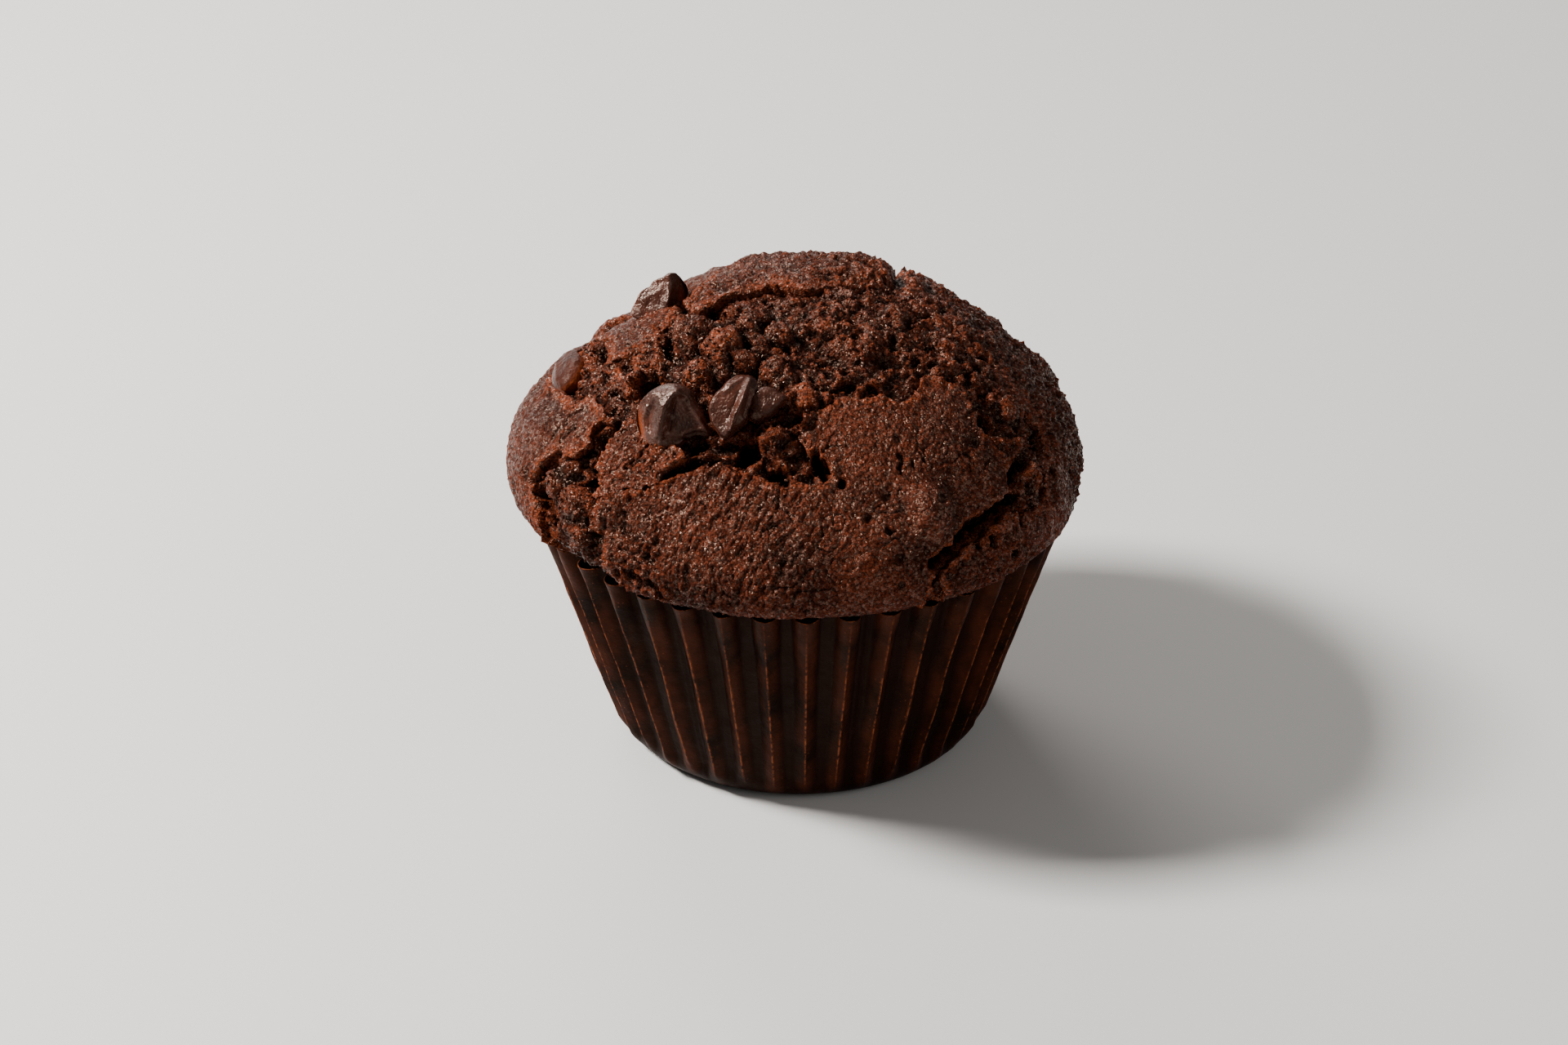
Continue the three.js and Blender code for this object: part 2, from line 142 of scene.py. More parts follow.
# %% Nodules, billows and pores
def seeds_round(points, size, salt):
    """For each of the 27 lattice cells round every point: the distance to the cell's seed, in cells,
    and the cell itself."""
    q = points / size
    cell = np.floor(q).astype(np.int64)
    for corner in product((-1, 0, 1), repeat=3):
        at = cell + corner
        seed = at + np.stack([lattice(at, salt + k) for k in range(3)], -1)
        yield np.sqrt(np.sum((q - seed) ** 2, -1)), at


def nodules(points, size, salt=0):
    """Round bumps packed side by side, 1 at each top and 0 in the creases: 1 minus the squared distance
    to the nearest seed."""
    nearest = np.full(points.shape[:-1], 1.0)
    for distance, _ in seeds_round(points, size, salt):
        nearest = np.minimum(nearest, distance)
    return 1 - nearest**2


def billows(points, size, octaves, salt=0):
    """Puffed folds with sharp creases between them, from 0 to about 0.8: the absolute value of gradient
    noise, averaged over sizes that halve, each with 0.6 of the weight of the one before."""
    weights = 0.6 ** np.arange(octaves)
    parts = [w * np.abs(noise(points, size / 2**k, salt + 5 * k)) for k, w in enumerate(weights)]
    return sum(parts) / weights.sum()


def pores(points, size, share, salt=0):
    """Scattered round holes, 1 in the middle and 0 outside. That share of the cells has one, with a
    radius between a fifth and a half of the cell."""
    deepest = np.zeros(points.shape[:-1])
    for distance, at in seeds_round(points, size, salt):
        radius = 0.2 + 0.3 * lattice(at, salt + 3)
        hole = np.where(lattice(at, salt + 4) < share, smooth(1.5 - distance / radius), 0)
        deepest = np.maximum(deepest, hole)
    return deepest


# %% [markdown]
# ## From arrays to a mesh
#
# A surface is a grid of points with rows and columns. Faces between neighbouring rows are worked out
# for all the cells together, and `foreach_set` copies the arrays straight into Blender. Adding faces one
# by one with bmesh would be much slower. The volume that is printed is positive only if the faces point
# outwards.

# %% Faces between points
def grid_faces(rows, columns, start=0, closed=False):
    """Two triangles for each cell of a grid whose points are stored row by row. A closed grid joins its
    last column to its first."""
    row, column = np.meshgrid(np.arange(rows - 1), np.arange(columns - (not closed)), indexing="ij")
    a = start + row * columns + column
    b = start + row * columns + (column + 1) % columns
    first = np.stack([a, b, b + columns], -1)
    second = np.stack([a, b + columns, a + columns], -1)
    return np.concatenate([first.reshape(-1, 3), second.reshape(-1, 3)])


def fan_faces(ring, centre):
    """Triangles from a closed ring of points to one centre point, turning as the ring does."""
    return np.stack([ring, np.roll(ring, -1), np.full_like(ring, centre)], -1)


# %% Meshes from arrays
def make_object(name, points, faces, material):
    """A smooth-shaded object from points in mm and triangles, riding on the muffin's one body. Its
    volume is the sum of dot(a, cross(b, c)) / 6 over its triangles."""
    faces = np.asarray(faces, np.int32)
    a, b, c = (points[faces[:, k]] for k in range(3))
    volume = np.sum(a * np.cross(b, c)) / 6
    mesh = bpy.data.meshes.new(name)
    mesh.vertices.add(len(points))
    mesh.vertices.foreach_set("co", (points * MM).astype(np.float32).ravel())
    mesh.loops.add(faces.size)
    mesh.loops.foreach_set("vertex_index", faces.ravel())
    mesh.polygons.add(len(faces))
    mesh.polygons.foreach_set("loop_start", np.arange(0, faces.size, 3, dtype=np.int32))
    mesh.polygons.foreach_set("use_smooth", np.ones(len(faces), bool))
    mesh.update(calc_edges=True)
    mesh.materials.append(material)
    made = bpy.data.objects.new(name, mesh)
    bpy.context.scene.collection.objects.link(made)
    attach(made, "root")
    print(f"{name}: {len(points)} points, {len(faces)} triangles, {volume / 1000:.2f} cubic cm")
    return made


def set_attribute(made, name, values):
    """Stores one number for each point of a mesh, for its material to read."""
    layer = made.data.attributes.new(name, "FLOAT", "POINT")
    layer.data.foreach_set("value", np.asarray(values, np.float32).ravel())


# %% [markdown]
# ## The smooth crown
#
# The crown is a dome that is blunter than a cone and sharper than a ball. It could be sculpted, but a
# superellipse turned round the axis has the same shape in three numbers. Below the widest place the crust
# rolls in over the paper's rim. Features are easier to place on a flat map, so the crown is unrolled: a
# map point lies as far from the middle as the surface is long from the top, in the direction that it has
# seen from above.

# %% The crown's profile
def crown_profile(above=600, below=120):
    """Arc length, radius and height from the top to the rim. Above the girth, radius and height are
    powers of cosine and sine, as on a superellipse. Below it a quarter ellipse rolls in."""
    t = np.linspace(np.pi / 2, 0, above)
    radius = GIRTH_RADIUS * np.clip(np.cos(t), 0, 1) ** (2 / CROWN_POWER)
    height = GIRTH_HEIGHT + (CROWN_HEIGHT - GIRTH_HEIGHT) * np.sin(t) ** (2 / CROWN_POWER)
    t = np.linspace(0, np.pi / 2, below + 1)[1:]
    radius = np.append(radius, TUCK_RADIUS + (GIRTH_RADIUS - TUCK_RADIUS) * np.cos(t))
    height = np.append(height, GIRTH_HEIGHT - (GIRTH_HEIGHT - RIM_HEIGHT - PAPER_GAP) * np.sin(t))
    radius[0] = 0
    arc = np.append(0, np.cumsum(np.hypot(np.diff(radius), np.diff(height))))
    return arc, radius, height


# %% The crown's frame
profile_arc, profile_radius, profile_height = crown_profile()
CROWN_ARC = profile_arc[-1]
slope_radius = np.gradient(profile_radius, profile_arc)
slope_height = np.gradient(profile_height, profile_arc)
slope_radius[:3], slope_height[:3] = 1, 0
print(f"the crown is {CROWN_ARC:.1f} long from its top to the rim")


def crown_frame(x, y):
    """Point, outward normal and the map's own right and up directions, under map points (x, y)."""
    arc, angle = np.hypot(x, y), np.arctan2(x, -y)
    sine, cosine, zero = np.sin(angle), np.cos(angle), np.zeros_like(angle)
    radius = np.interp(arc, profile_arc, profile_radius)
    dr = np.interp(arc, profile_arc, slope_radius)
    dz = np.interp(arc, profile_arc, slope_height)
    length = np.hypot(dr, dz)
    dr, dz = dr / length, dz / length
    point = np.stack([radius * sine, -radius * cosine, np.interp(arc, profile_arc, profile_height)], -1)
    normal = np.stack([-dz * sine, dz * cosine, dr], -1)
    down = np.stack([dr * sine, -dr * cosine, dz], -1)
    around = np.stack([cosine, sine, zero], -1)
    right = cosine[..., None] * around + sine[..., None] * down
    up = sine[..., None] * around - cosine[..., None] * down
    return point, normal, right, up


# %% [markdown]
# ## What lies where on the crown
#
# A random pattern would tear the crust anywhere, and the muffin would lose its face. So its plates are
# closed outlines drawn on the map, each with the level that it was lifted to. Whatever lies outside all
# of them is torn crumb. Pits, crevices, cracks and covered chips come as short lists, because on a real
# muffin no two are alike.

# %% Plates of crust in front: level and outline
FRONT_PLATES = {
    "front": (0.0, [
        (-29.5, -33), (-28.5, -29.5), (-25, -29.3), (-20, -29.8), (-16.5, -29.3), (-14.5, -29.5),
        (-12, -29.2), (-9.5, -30.5), (-8.5, -31.5), (-6, -32.2), (-4, -33.5), (0, -33), (3, -33.8),
        (4.3, -31.5), (4, -30), (1.5, -29.2), (0.8, -28), (0.3, -26), (0, -24.2), (4, -22.4),
        (6, -21.2), (9, -20.8), (10.5, -20), (12, -21), (14, -20.5), (15, -18), (15.5, -16),
        (16.5, -14.5), (20, -14.3), (21.5, -14), (22, -16), (23.5, -17), (24, -20.3), (26, -21),
        (28.5, -22), (30.5, -24.5), (31, -26), (30, -28.5), (28, -30.5), (25, -33.5), (22, -36.5),
        (19.5, -40), (20.5, -44), (22, -56), (0, -66), (-20, -62), (-25, -52), (-27.5, -45),
        (-29.2, -41), (-31, -37.5), (-30.2, -35),
    ]),
    "middle left": (-0.1, [
        (-25, -19), (-22, -19.4), (-21, -20.5), (-21, -24), (-17.5, -26), (-15, -28.5), (-19, -29.5),
        (-24.5, -29), (-28.5, -28.5), (-28, -25), (-28, -23.5), (-26.5, -21.5), (-25.5, -19.5),
    ]),
}

# %% Plates of crust at the sides, on the top and behind
OTHER_PLATES = {
    "left": (0.0, [
        (-36, 2), (-35, -3), (-34, -5.5), (-33, -7), (-32, -9.5), (-31.5, -11.5), (-28.5, -11),
        (-27.5, -12), (-27, -14), (-26.5, -16), (-25, -17.5), (-24.5, -19), (-27, -17), (-28.5, -18),
        (-30, -19.5), (-33.5, -18.5), (-35, -16.5), (-36, -15.8), (-39, -15.5), (-41, -18),
        (-42, -22), (-43.5, -27), (-44, -33), (-44, -42), (-70, -20), (-66, 24), (-46, 16), (-38, 6),
    ]),
    "upper left": (-0.5, [
        (-36.5, 3), (-31.5, 6.5), (-28.5, 6), (-27.5, 1), (-26.5, -2), (-26.5, -4.8), (-22, -5),
        (-19.5, -3.5), (-17, -1), (-15.8, 2), (-15.8, 8), (-17.5, 15), (-27, 24), (-44, 34), (-46, 14),
    ]),
    "top": (0.3, [
        (-15, 1), (-13.5, -3), (-12, -1.5), (-11, -0.8), (-9, -0.3), (-6, -0.3), (-3.8, 0.5),
        (-1.5, -0.5), (1, -1), (3, 0), (6.5, 1.5), (10.5, 3), (12.5, 5.5), (12.5, 12), (9, 19),
        (3, 23.5), (-5, 25), (-10.5, 20), (-14.5, 10),
    ]),
    "right": (0.0, [
        (12.3, 6), (13.5, 1.5), (16, -0.5), (19, -3.2), (22.5, -5.5), (25.5, -8.3), (30, -10),
        (33, -9.3), (36.5, -11), (36.8, -14.5), (36.2, -18), (37.6, -20), (37.3, -23.5), (35.5, -26),
        (33, -28), (31, -29.3), (29.6, -31.5), (28, -33), (25.4, -36), (23, -39), (21.6, -41.5),
        (24.5, -46), (26, -58), (58, -44), (70, 0), (60, 34), (30, 40), (14, 30), (13, 14),
    ]),
    "back": (0.1, [
        (-64, 18), (-47, 17), (-28, 27), (-17, 17.5), (-12, 23), (-5, 27.5), (3, 26), (10, 21),
        (13, 19), (14.5, 31), (32, 42), (60, 36), (50, 70), (-50, 70),
    ]),
}

# %% Where the crust is granular
GRANULAR = {
    "right": (0, [(12, 6), (20, -3.5), (33, -9), (58, -20), (70, 10), (50, 34), (20, 34), (12, 20)]),
    "lower right": (0, [(20, -42), (26, -34), (34, -29), (60, -44), (24, -60)]),
    "lower left": (0, [(-31, -27), (-24, -28), (-21, -33), (-21, -40), (-23, -52), (-31, -46), (-34, -34)]),
    "top": (0, [(-14, 0), (12, 2), (13, 12), (6, 20), (-8, 20), (-14, 10)]),
    "back": (0, [(-20, 40), (-6, 32), (14, 36), (20, 60), (-24, 60)]),
}

# %% Pits: x, y, half length, half width, turn in degrees, depth
PITS = [
    (-7.5, -28, 2.2, 1.6, 0, 4.6), (-3.5, -31.5, 1.7, 1.1, 10, 3.4), (3, -30.6, 1.9, 0.7, -65, 2.8),
    (5.9, -33.1, 1.1, 0.45, -60, 1.6), (-21, -13, 1.4, 1.9, 0, 4.2), (-11, -2.6, 1.7, 1.1, -40, 2.8),
    (-28, -1.5, 0.85, 2.4, 0, 2.8), (-30.3, -5.1, 1, 0.5, -25, 1.8), (-24, -7.5, 0.6, 1.6, 0, 2.2),
    (-22.8, -5.5, 0.8, 0.8, 0, 1.8), (-27.3, -7.3, 0.7, 0.7, 0, 1.5), (-35.8, -0.5, 0.7, 1.5, 0, 1.6),
    (-38.2, -16.8, 2.8, 0.75, -12, 2.8), (-40, -20.6, 1.5, 2.2, 0, 3.8), (-40.2, -25.2, 1, 1.5, 0, 3),
    (-33, -29.5, 1, 0.6, 30, 1.8), (-31, -30.5, 0.8, 0.6, 0, 1.6), (-17.5, -28.8, 1.3, 0.8, 0, 1.8),
    (-26, -14.8, 0.7, 0.5, 0, 1.2), (-3.5, -24.6, 1.2, 0.8, 20, 2), (-5, -14.5, 0.8, 0.6, 0, 1.6),
    (2, -14.3, 1.2, 0.6, 0, 1.8), (4, -10.5, 0.9, 0.6, 20, 1.4), (6.5, -7.5, 0.9, 0.9, 0, 1.8),
    (6.5, -10.8, 0.8, 0.5, 0, 1.3), (12.5, -11, 0.9, 0.6, 0, 1.4), (15, -11.8, 0.7, 0.6, 0, 1.5),
    (17, -9, 0.9, 0.6, 30, 1.5), (18, -11.8, 0.7, 0.5, 0, 1.3), (21, -9, 0.8, 0.6, 0, 1.6),
    (22.2, -11.3, 0.8, 0.7, 0, 1.6), (24.5, -13, 0.9, 0.6, 0, 1.8), (5, -19, 1.9, 0.6, 15, 1.7),
    (9.5, -19, 1.1, 0.6, 0, 1.5), (25.2, -5.5, 1.1, 1, 0, 2.8), (20, -3.8, 1.1, 0.45, -20, 1.3),
    (16.4, -2, 1, 0.4, 50, 1.2), (11, -0.7, 0.9, 0.6, 0, 1.2), (25, -18.5, 1.1, 1.9, 0, 3.4),
    (34, -11.8, 1.9, 1.3, -20, 2.8), (34.8, -14.8, 1.4, 2, 0, 3.6), (36.5, -22, 0.8, 2.1, 10, 2.6),
    (38.5, -17, 0.4, 1.1, 0, 1.5), (30.7, -15.5, 0.5, 1.1, 10, 1.5), (33, -29, 0.5, 1.1, 30, 1.6),
    (33.2, -33.5, 0.5, 1, 0, 1.4), (29, -34, 0.8, 0.6, 0, 1.3), (26.8, -36, 0.8, 0.5, 30, 1.3),
    (12.5, -38, 0.9, 0.5, 0, 0.9), (-26, 4, 0.9, 0.7, 0, 1.5), (-9.5, -9, 0.8, 0.6, 30, 1.8),
    (-4.2, -8.5, 0.7, 0.9, 0, 1.6), (-2.2, -12, 0.9, 0.7, -40, 1.8), (-7.8, -8.8, 0.6, 0.6, 0, 1.4),
    (-14, 21.5, 2.4, 1.2, 35, 3), (9, 23.5, 2.2, 1.1, -35, 2.6), (22, 29, 1.4, 0.9, 20, 2),
    (-33, 20, 1.2, 0.9, 0, 2), (36, 14, 1, 0.8, 0, 1.8), (-8, 40, 1.1, 0.8, 40, 1.8),
]

# %% Crevices and cracks: points, half width, depth
CREVICES = [
    ([(32, -20.5), (30.8, -22.6), (30, -24)], 0.9, 2.6),
    ([(31.6, -26.3), (29.6, -29), (27.5, -31.2), (25, -34), (23.4, -36.2), (21.4, -38.6), (20, -40.4)],
     1, 3.2),
    ([(-25, -18.8), (-27.5, -19.7), (-28.6, -21.6), (-31.2, -23.6), (-30.2, -25.6), (-30.4, -29)], 1, 2.6),
    ([(-15.4, 5), (-15.8, 0), (-16.4, -3), (-17.4, -6), (-17.8, -9)], 0.8, 2.4),
    ([(-18, -28.9), (-13, -29), (-10, -28.2)], 0.9, 1.8),
    ([(-15, -25.8), (-12, -26.3), (-9, -27)], 1, 1.7),
    ([(7.4, 7.4), (9, 6.8), (11.2, 5.2)], 0.5, 1.3), ([(12.5, 5), (13.1, 10), (13.3, 16)], 1.1, 1.1),
    ([(-30, 26), (-24, 21), (-17, 16.5), (-12, 21.5), (-6, 26.2), (2, 25.2), (9, 20.2), (13, 16)],
     0.9, 2.4),
    ([(13, 16), (14, 24), (15, 31), (26, 39)], 0.7, 1.9),
    ([(-22, -45), (-23.5, -42.5), (-27, -39.6)], 0.7, 1),
]
CRACKS = [
    ([(-35, -13.2), (-33, -13.4), (-30, -12.8)], 0.26, 0.8),
    ([(-35, -15.8), (-33.5, -15.2), (-32, -15.2)], 0.26, 0.8),
    ([(-24.4, -26), (-22.6, -25.6), (-21, -26.2)], 0.28, 0.7),
    ([(13, -28), (13.6, -29), (13.3, -29.9)], 0.26, 0.8),
    ([(16.3, -27.2), (16.7, -28)], 0.22, 0.5),
    ([(15, -28.4), (15.4, -29.2)], 0.22, 0.5),
    ([(-12, 3), (-9, 2.2), (-5.5, 2)], 0.28, 0.7),
    ([(3, 3.5), (6, 3), (9, 3.5)], 0.28, 0.7),
    ([(20, 34), (23, 38), (21, 43), (23, 47)], 0.3, 0.9),
    ([(-40, 28), (-43, 32), (-41, 36)], 0.3, 0.8),
    ([(44, 6), (42, 11), (43, 15)], 0.3, 0.8),
]

# %% Lumps and swells: x, y, radius, rise
# Most lumps are chips or clots of batter under a skin of crumb. Swells bend the crown's outline.
LUMPS = [
    (-14.6, -6, 2.6, 2), (-11.6, -8.4, 1.9, 1.5), (-15.6, -9.4, 1.8, 1), (-8, -4, 2, 1.5),
    (-5.5, -6, 1.8, 1.2), (-6.5, -9.6, 1.7, 1.1), (-4.8, -12, 1.8, 1.3), (-9.8, -12.6, 2.5, 2.9),
    (-9.6, -15.2, 1.8, 1.2), (-13.6, -15.4, 2.3, 2), (-7, -13.8, 1.5, 1.6), (18.3, -13, 1, 1),
    (-2.6, -17, 2.2, 1.2), (0, -20.6, 2, 1.2), (6, -16.6, 2.3, 0.9), (-2.6, -27.6, 2.2, 1.3),
    (-13.3, -27.4, 2.2, 0.8), (-34, -25, 2.6, 1), (-36.5, -21, 2.1, 0.9), (-35, -31, 2.6, 0.9),
    (-27.2, -30, 2.7, 1.3), (18.2, -34.3, 3.4, 2.4), (14.6, -33.2, 2, 0.5), (33.4, -21.5, 1.9, 1.4),
    (8, -12, 2.6, 0.8), (13, -5, 2.8, 0.7), (3, -5.5, 2.4, 0.8), (28.2, -12.6, 2.3, 0.9),
    (-19.6, -15.8, 2, 0.8), (-24, -10.5, 2.4, 0.6), (27.3, -26.5, 2.2, 0.3), (-30, 27, 3.6, 1.3),
    (28, 20, 3.8, 1.3), (2, 38, 3.6, 1.2), (-12, 33, 3, 0.9), (18, 40, 2.6, 0.7), (40, 2, 3, 0.5),
]
SWELLS = [
    (8.5, 9, 6, 1.2), (-13, 9, 5, -1.2), (-25, 12, 8, -1.6), (26, 16, 9, -0.9), (46, 0, 22, -1.6),
    (28, 21, 9, -1.6), (0, 22, 22, -1), (-33, 20, 10, -1.4), (-26, 24, 8, -1.2), (-19, 19, 9, -2.4),
]

# %% Walls of crumb left standing between torn strands: points, half width, rise
STRANDS = [
    ([(7, -20), (9, -18), (10.5, -16.5), (11.7, -15)], 0.7, 0.8),
    ([(-5.5, -27.3), (-3, -26), (0, -25)], 0.8, 1),
    ([(-22, -8.6), (-20, -10.4), (-19, -12.6)], 0.7, 1),
    ([(-37.6, -18.6), (-36, -22.4), (-37, -27)], 0.8, 0.9),
    ([(0, -9), (3, -7.6), (6, -8.6)], 0.6, 0.7),
    ([(31.6, -17.8), (29.4, -19.6)], 0.7, 0.9),
]

# %% Clots of batter that stand clear of the torn crumb: x, y, radius, level of the top
CLOTS = [
    (-14.2, -7.2, 3.2, 1.5), (-9.9, -11.5, 2.7, 2.1), (-13.5, -14.9, 2.2, 1.0), (-6.2, -7.4, 2.3, 0.9),
    (-3.2, -9.6, 1.8, 0.4), (-7.2, -14.4, 1.7, 0.9), (-18.8, -10.2, 1.6, 0.2), (-22.6, -12.2, 1.8, 0.3),
    (-3.4, -16.4, 2.0, 0.5), (0.6, -20.4, 1.8, 0.2), (3.2, -8.2, 1.7, 0.4), (9.4, -9.4, 1.8, 0.5),
    (13.6, -8.6, 1.5, 0.3), (-34.4, -25, 2.5, 0.6), (-37, -21.2, 1.9, 0.3), (-34.6, -31, 2.4, 0.5),
    (33.2, -21.4, 1.8, 0.8), (28.4, -13, 1.9, 0.6), (19.4, -10.2, 1.4, 0.4),
]

# %% Crumb soaked by molten chocolate, painted shade in the left crevices, and warm lumps: x, y, radius
WET_AND_SHADE = [
    (-14, -7, 4.2), (-6.5, -8.5, 5), (-7, -14.5, 2.4), (-3.5, -21, 3), (-14, -26.5, 4), (-38, -21, 3.5),
    (-39, -28, 4), (-34, -34, 4), (-29, -20.5, 3), (33, -26, 3), (35, -15, 3),
]
WARM = [(-10.1, -11.6, 2.6), (-13.6, -15, 2.2), (-24, -8, 3), (-22, -12.5, 2.4), (0, -20.5, 2.2)]
print(len(PITS), "pits,", len(CREVICES), "crevices,", len(LUMPS), "lumps,", len(CLOTS), "clots")

# %% [markdown]
# ## Distances on the map
#
# A painted mask would be only as sharp as its pixels. Instead, one helper gives the nearest point of a
# line to all map points at once. A plate is then a field that is positive inside its outline and negative
# outside, and its slope says which way the torn edge faces.

# %% Distances to lines and outlines
def away_from(x, y, line, closed=False):
    """The way from the line's nearest point to each (x, y), as two arrays. Each stretch of the line is
    met at the share t = dot(point - start, stretch) / length squared, kept from 0 to 1."""
    ends = line[1:] + line[:1] if closed else line[1:]
    best = np.full(x.shape, 1e9)
    best_x, best_y = np.zeros_like(x), np.zeros_like(y)
    for (ax, ay), (bx, by) in zip(line, ends):
        dx, dy = bx - ax, by - ay
        t = np.clip(((x - ax) * dx + (y - ay) * dy) / (dx * dx + dy * dy), 0, 1)
        wx, wy = x - ax - t * dx, y - ay - t * dy
        nearer = wx * wx + wy * wy < best
        best = np.where(nearer, wx * wx + wy * wy, best)
        best_x, best_y = np.where(nearer, wx, best_x), np.where(nearer, wy, best_y)
    return best_x, best_y


def is_inside(x, y, outline):
    """True inside the outline: a ray to the right crosses it an odd number of times."""
    inside = np.zeros(x.shape, bool)
    for (ax, ay), (bx, by) in zip(outline, outline[1:] + outline[:1]):
        if ay != by:
            crosses = ((ay > y) != (by > y)) & (x < (bx - ax) * (y - ay) / (by - ay) + ax)
            inside ^= crosses
    return inside


# %% The plates as a field
def plate_field(x, y, plates):
    """Depth inside the nearest plate (negative outside all of them), that plate's level, and the unit
    direction on the map in which the depth falls."""
    depth, level = np.full(x.shape, -1e9), np.zeros_like(x)
    fall_x, fall_y = np.zeros_like(x), np.zeros_like(y)
    for lifted, outline in plates.values():
        wx, wy = away_from(x, y, outline, closed=True)
        length = np.maximum(np.hypot(wx, wy), 1e-6)
        sign = np.where(is_inside(x, y, outline), 1, -1)
        better = sign * length > depth
        depth = np.where(better, sign * length, depth)
        level = np.where(better, lifted, level)
        fall_x = np.where(better, -sign * wx / length, fall_x)
        fall_y = np.where(better, -sign * wy / length, fall_y)
    return depth, level, fall_x, fall_y


# %% [markdown]
# ## The crown's relief
#
# Crust and crumb look so unlike because they are rough at different sizes. The relief adds up from
# coarse to fine. Swells, lumps, pits and crevices are shared. Crust then adds a raised lip where it tore,
# creases, ribs and small granules. Crumb lies lower and is built of nodules, billows and round clots,
# with pores between them. Each term is a height in mm times a pattern, and a pattern is given its size in
# mm and a salt of its own, which keeps it apart from the others. The map is read through a wobble, so
# that no edge looks drawn.

# %% What the layout says at each point
def read_layout(x, y, surface, plates):
    """Shared fields at map points (x, y) whose places on the smooth crown are surface. Where soft is
    above 0 the crust crumbled instead of tearing: 1 at the upper right, 0.5 over the rest of the top and
    0 in front. rim is 1 on the crown and falls to 0 at the case's rim."""
    wx, wy = x.copy(), y.copy()
    for k, (size, reach) in enumerate([(3.4, 0.6), (1.3, 0.46), (0.6, 0.2)]):
        wx += reach * noise(surface, size, 11 + 10 * k)
        wy += reach * noise(surface, size, 16 + 10 * k)
    depth, level, fall_x, fall_y = plate_field(wx, wy, plates)
    granular = smooth((plate_field(wx, wy, GRANULAR)[0] + 2) / 4)
    base = np.zeros_like(x)
    for px, py, radius, rise in LUMPS + SWELLS:
        base += rise * smooth(1.35 - np.hypot(x - px, y - py) / radius)
    for line, half, rise in STRANDS:
        base += rise * smooth(1.5 - np.hypot(*away_from(wx, wy, line)) / half)
    cut = np.zeros_like(x)
    for px, py, long, short, turn, deep in PITS:
        c, s = np.cos(np.radians(turn)), np.sin(np.radians(turn))
        u, v = (wx - px) * c + (wy - py) * s, (wy - py) * c - (wx - px) * s
        cut = np.maximum(cut, deep * smooth((1.3 - np.hypot(u / long, v / short)) / 0.7))
    for line, half, deep in CREVICES + CRACKS:
        away = np.hypot(*away_from(wx, wy, line))
        cut = np.maximum(cut, deep * smooth((1.35 - away / half) / 0.85))
    wet_and_shade = np.zeros_like(x)
    for px, py, radius in WET_AND_SHADE:
        wet_and_shade = np.maximum(wet_and_shade, smooth(1.5 - np.hypot(x - px, y - py) / radius))
    soft = np.maximum(smooth((x + 1) / 7) * smooth((y + 15) / 4), 0.5 * smooth((y + 7) / 3))
    soft = np.maximum(soft, 0.7 * smooth((x - 28) / 5) * smooth((y + 32) / 6))
    rim = smooth((CROWN_ARC - 0.4 - np.hypot(x, y)) / 4.5)
    return dict(x=x, y=y, wx=wx, wy=wy, surface=surface, depth=depth, level=level, fall_x=fall_x,
                fall_y=fall_y, granular=granular, base=base, cut=cut, wet_and_shade=wet_and_shade, soft=soft, rim=rim)


# %% Height of the crust
RIB_WAY = (0.64, 0.77)  # the ribs run up to the right on the map


def crust_height(m):
    """level + lumps and swells + a slight dome of each plate + lip + granules + ribs - creases - pores -
    cuts, and outside the plate a steep drop of 3, then 3 more, into the cake. In soft places there is
    no lip, and the edge slopes down and crumbles."""
    surface, depth, rough, soft = m["surface"], m["depth"], m["granular"], m["soft"]
    crumbling = smooth(1 - depth / (1.6 + 2 * soft))
    height = m["level"] + m["base"] + 0.2 * smooth(depth / 5)
    height += 0.25 * noise(surface, 9, 51) + 0.12 * noise(surface, 2.6, 52)
    height -= 0.9 * soft * smooth((2.6 - depth) / 2.8)
    lip = hump(depth - 0.45, 0.5) * smooth(0.55 + 0.9 * noise(surface, 2.2, 53)) * (1 - soft)
    height += 0.16 * lip
    height += (0.08 + 0.34 * rough + 0.32 * crumbling) * (nodules(surface, 1.5, 54) - 0.55)
    height += (0.3 + 0.5 * rough + 0.4 * crumbling) * (billows(surface, 0.95, 2, 55) - 0.27)
    height += 0.4 * rough * (nodules(surface, 2.8, 65) - 0.55)
    creases = hump(noise(surface, 2.6, 57), 0.05) * smooth(0.2 + 1.6 * noise(surface, 5, 58))
    height -= 0.25 * creases
    along = m["x"] * RIB_WAY[0] + m["y"] * RIB_WAY[1]
    across = m["y"] * RIB_WAY[0] - m["x"] * RIB_WAY[1] + 0.9 * noise(surface, 5, 66)
    coarse = noise(np.stack([along / 5, across / 1.5, 0 * along], -1), 1, 67)
    fine = noise(np.stack([along / 1.9, across / 0.5, 0 * along], -1), 1, 59)
    left = smooth((6 - m["x"]) / 9) * smooth((-18 - m["y"]) / 8)  # the ribs are strongest there
    height += (0.12 + 0.3 * left) * (0.3 - np.abs(fine)) + (0.15 + 0.4 * left) * (0.3 - np.abs(coarse))
    holes = pores(surface, 1.7, 0.07 * (1 - left) + 0.2 * rough + 0.12 * crumbling, 60)
    height -= 0.6 * holes + m["cut"] * (0.8 + 0.2 * noise(surface, 4, 61))
    height = height * m["rim"]
    sunk = smooth((0.05 - depth) / 0.5)
    height -= 3 * sunk + 3 * smooth((-0.5 - depth) / 1.5)
    return height, lip, creases, sunk


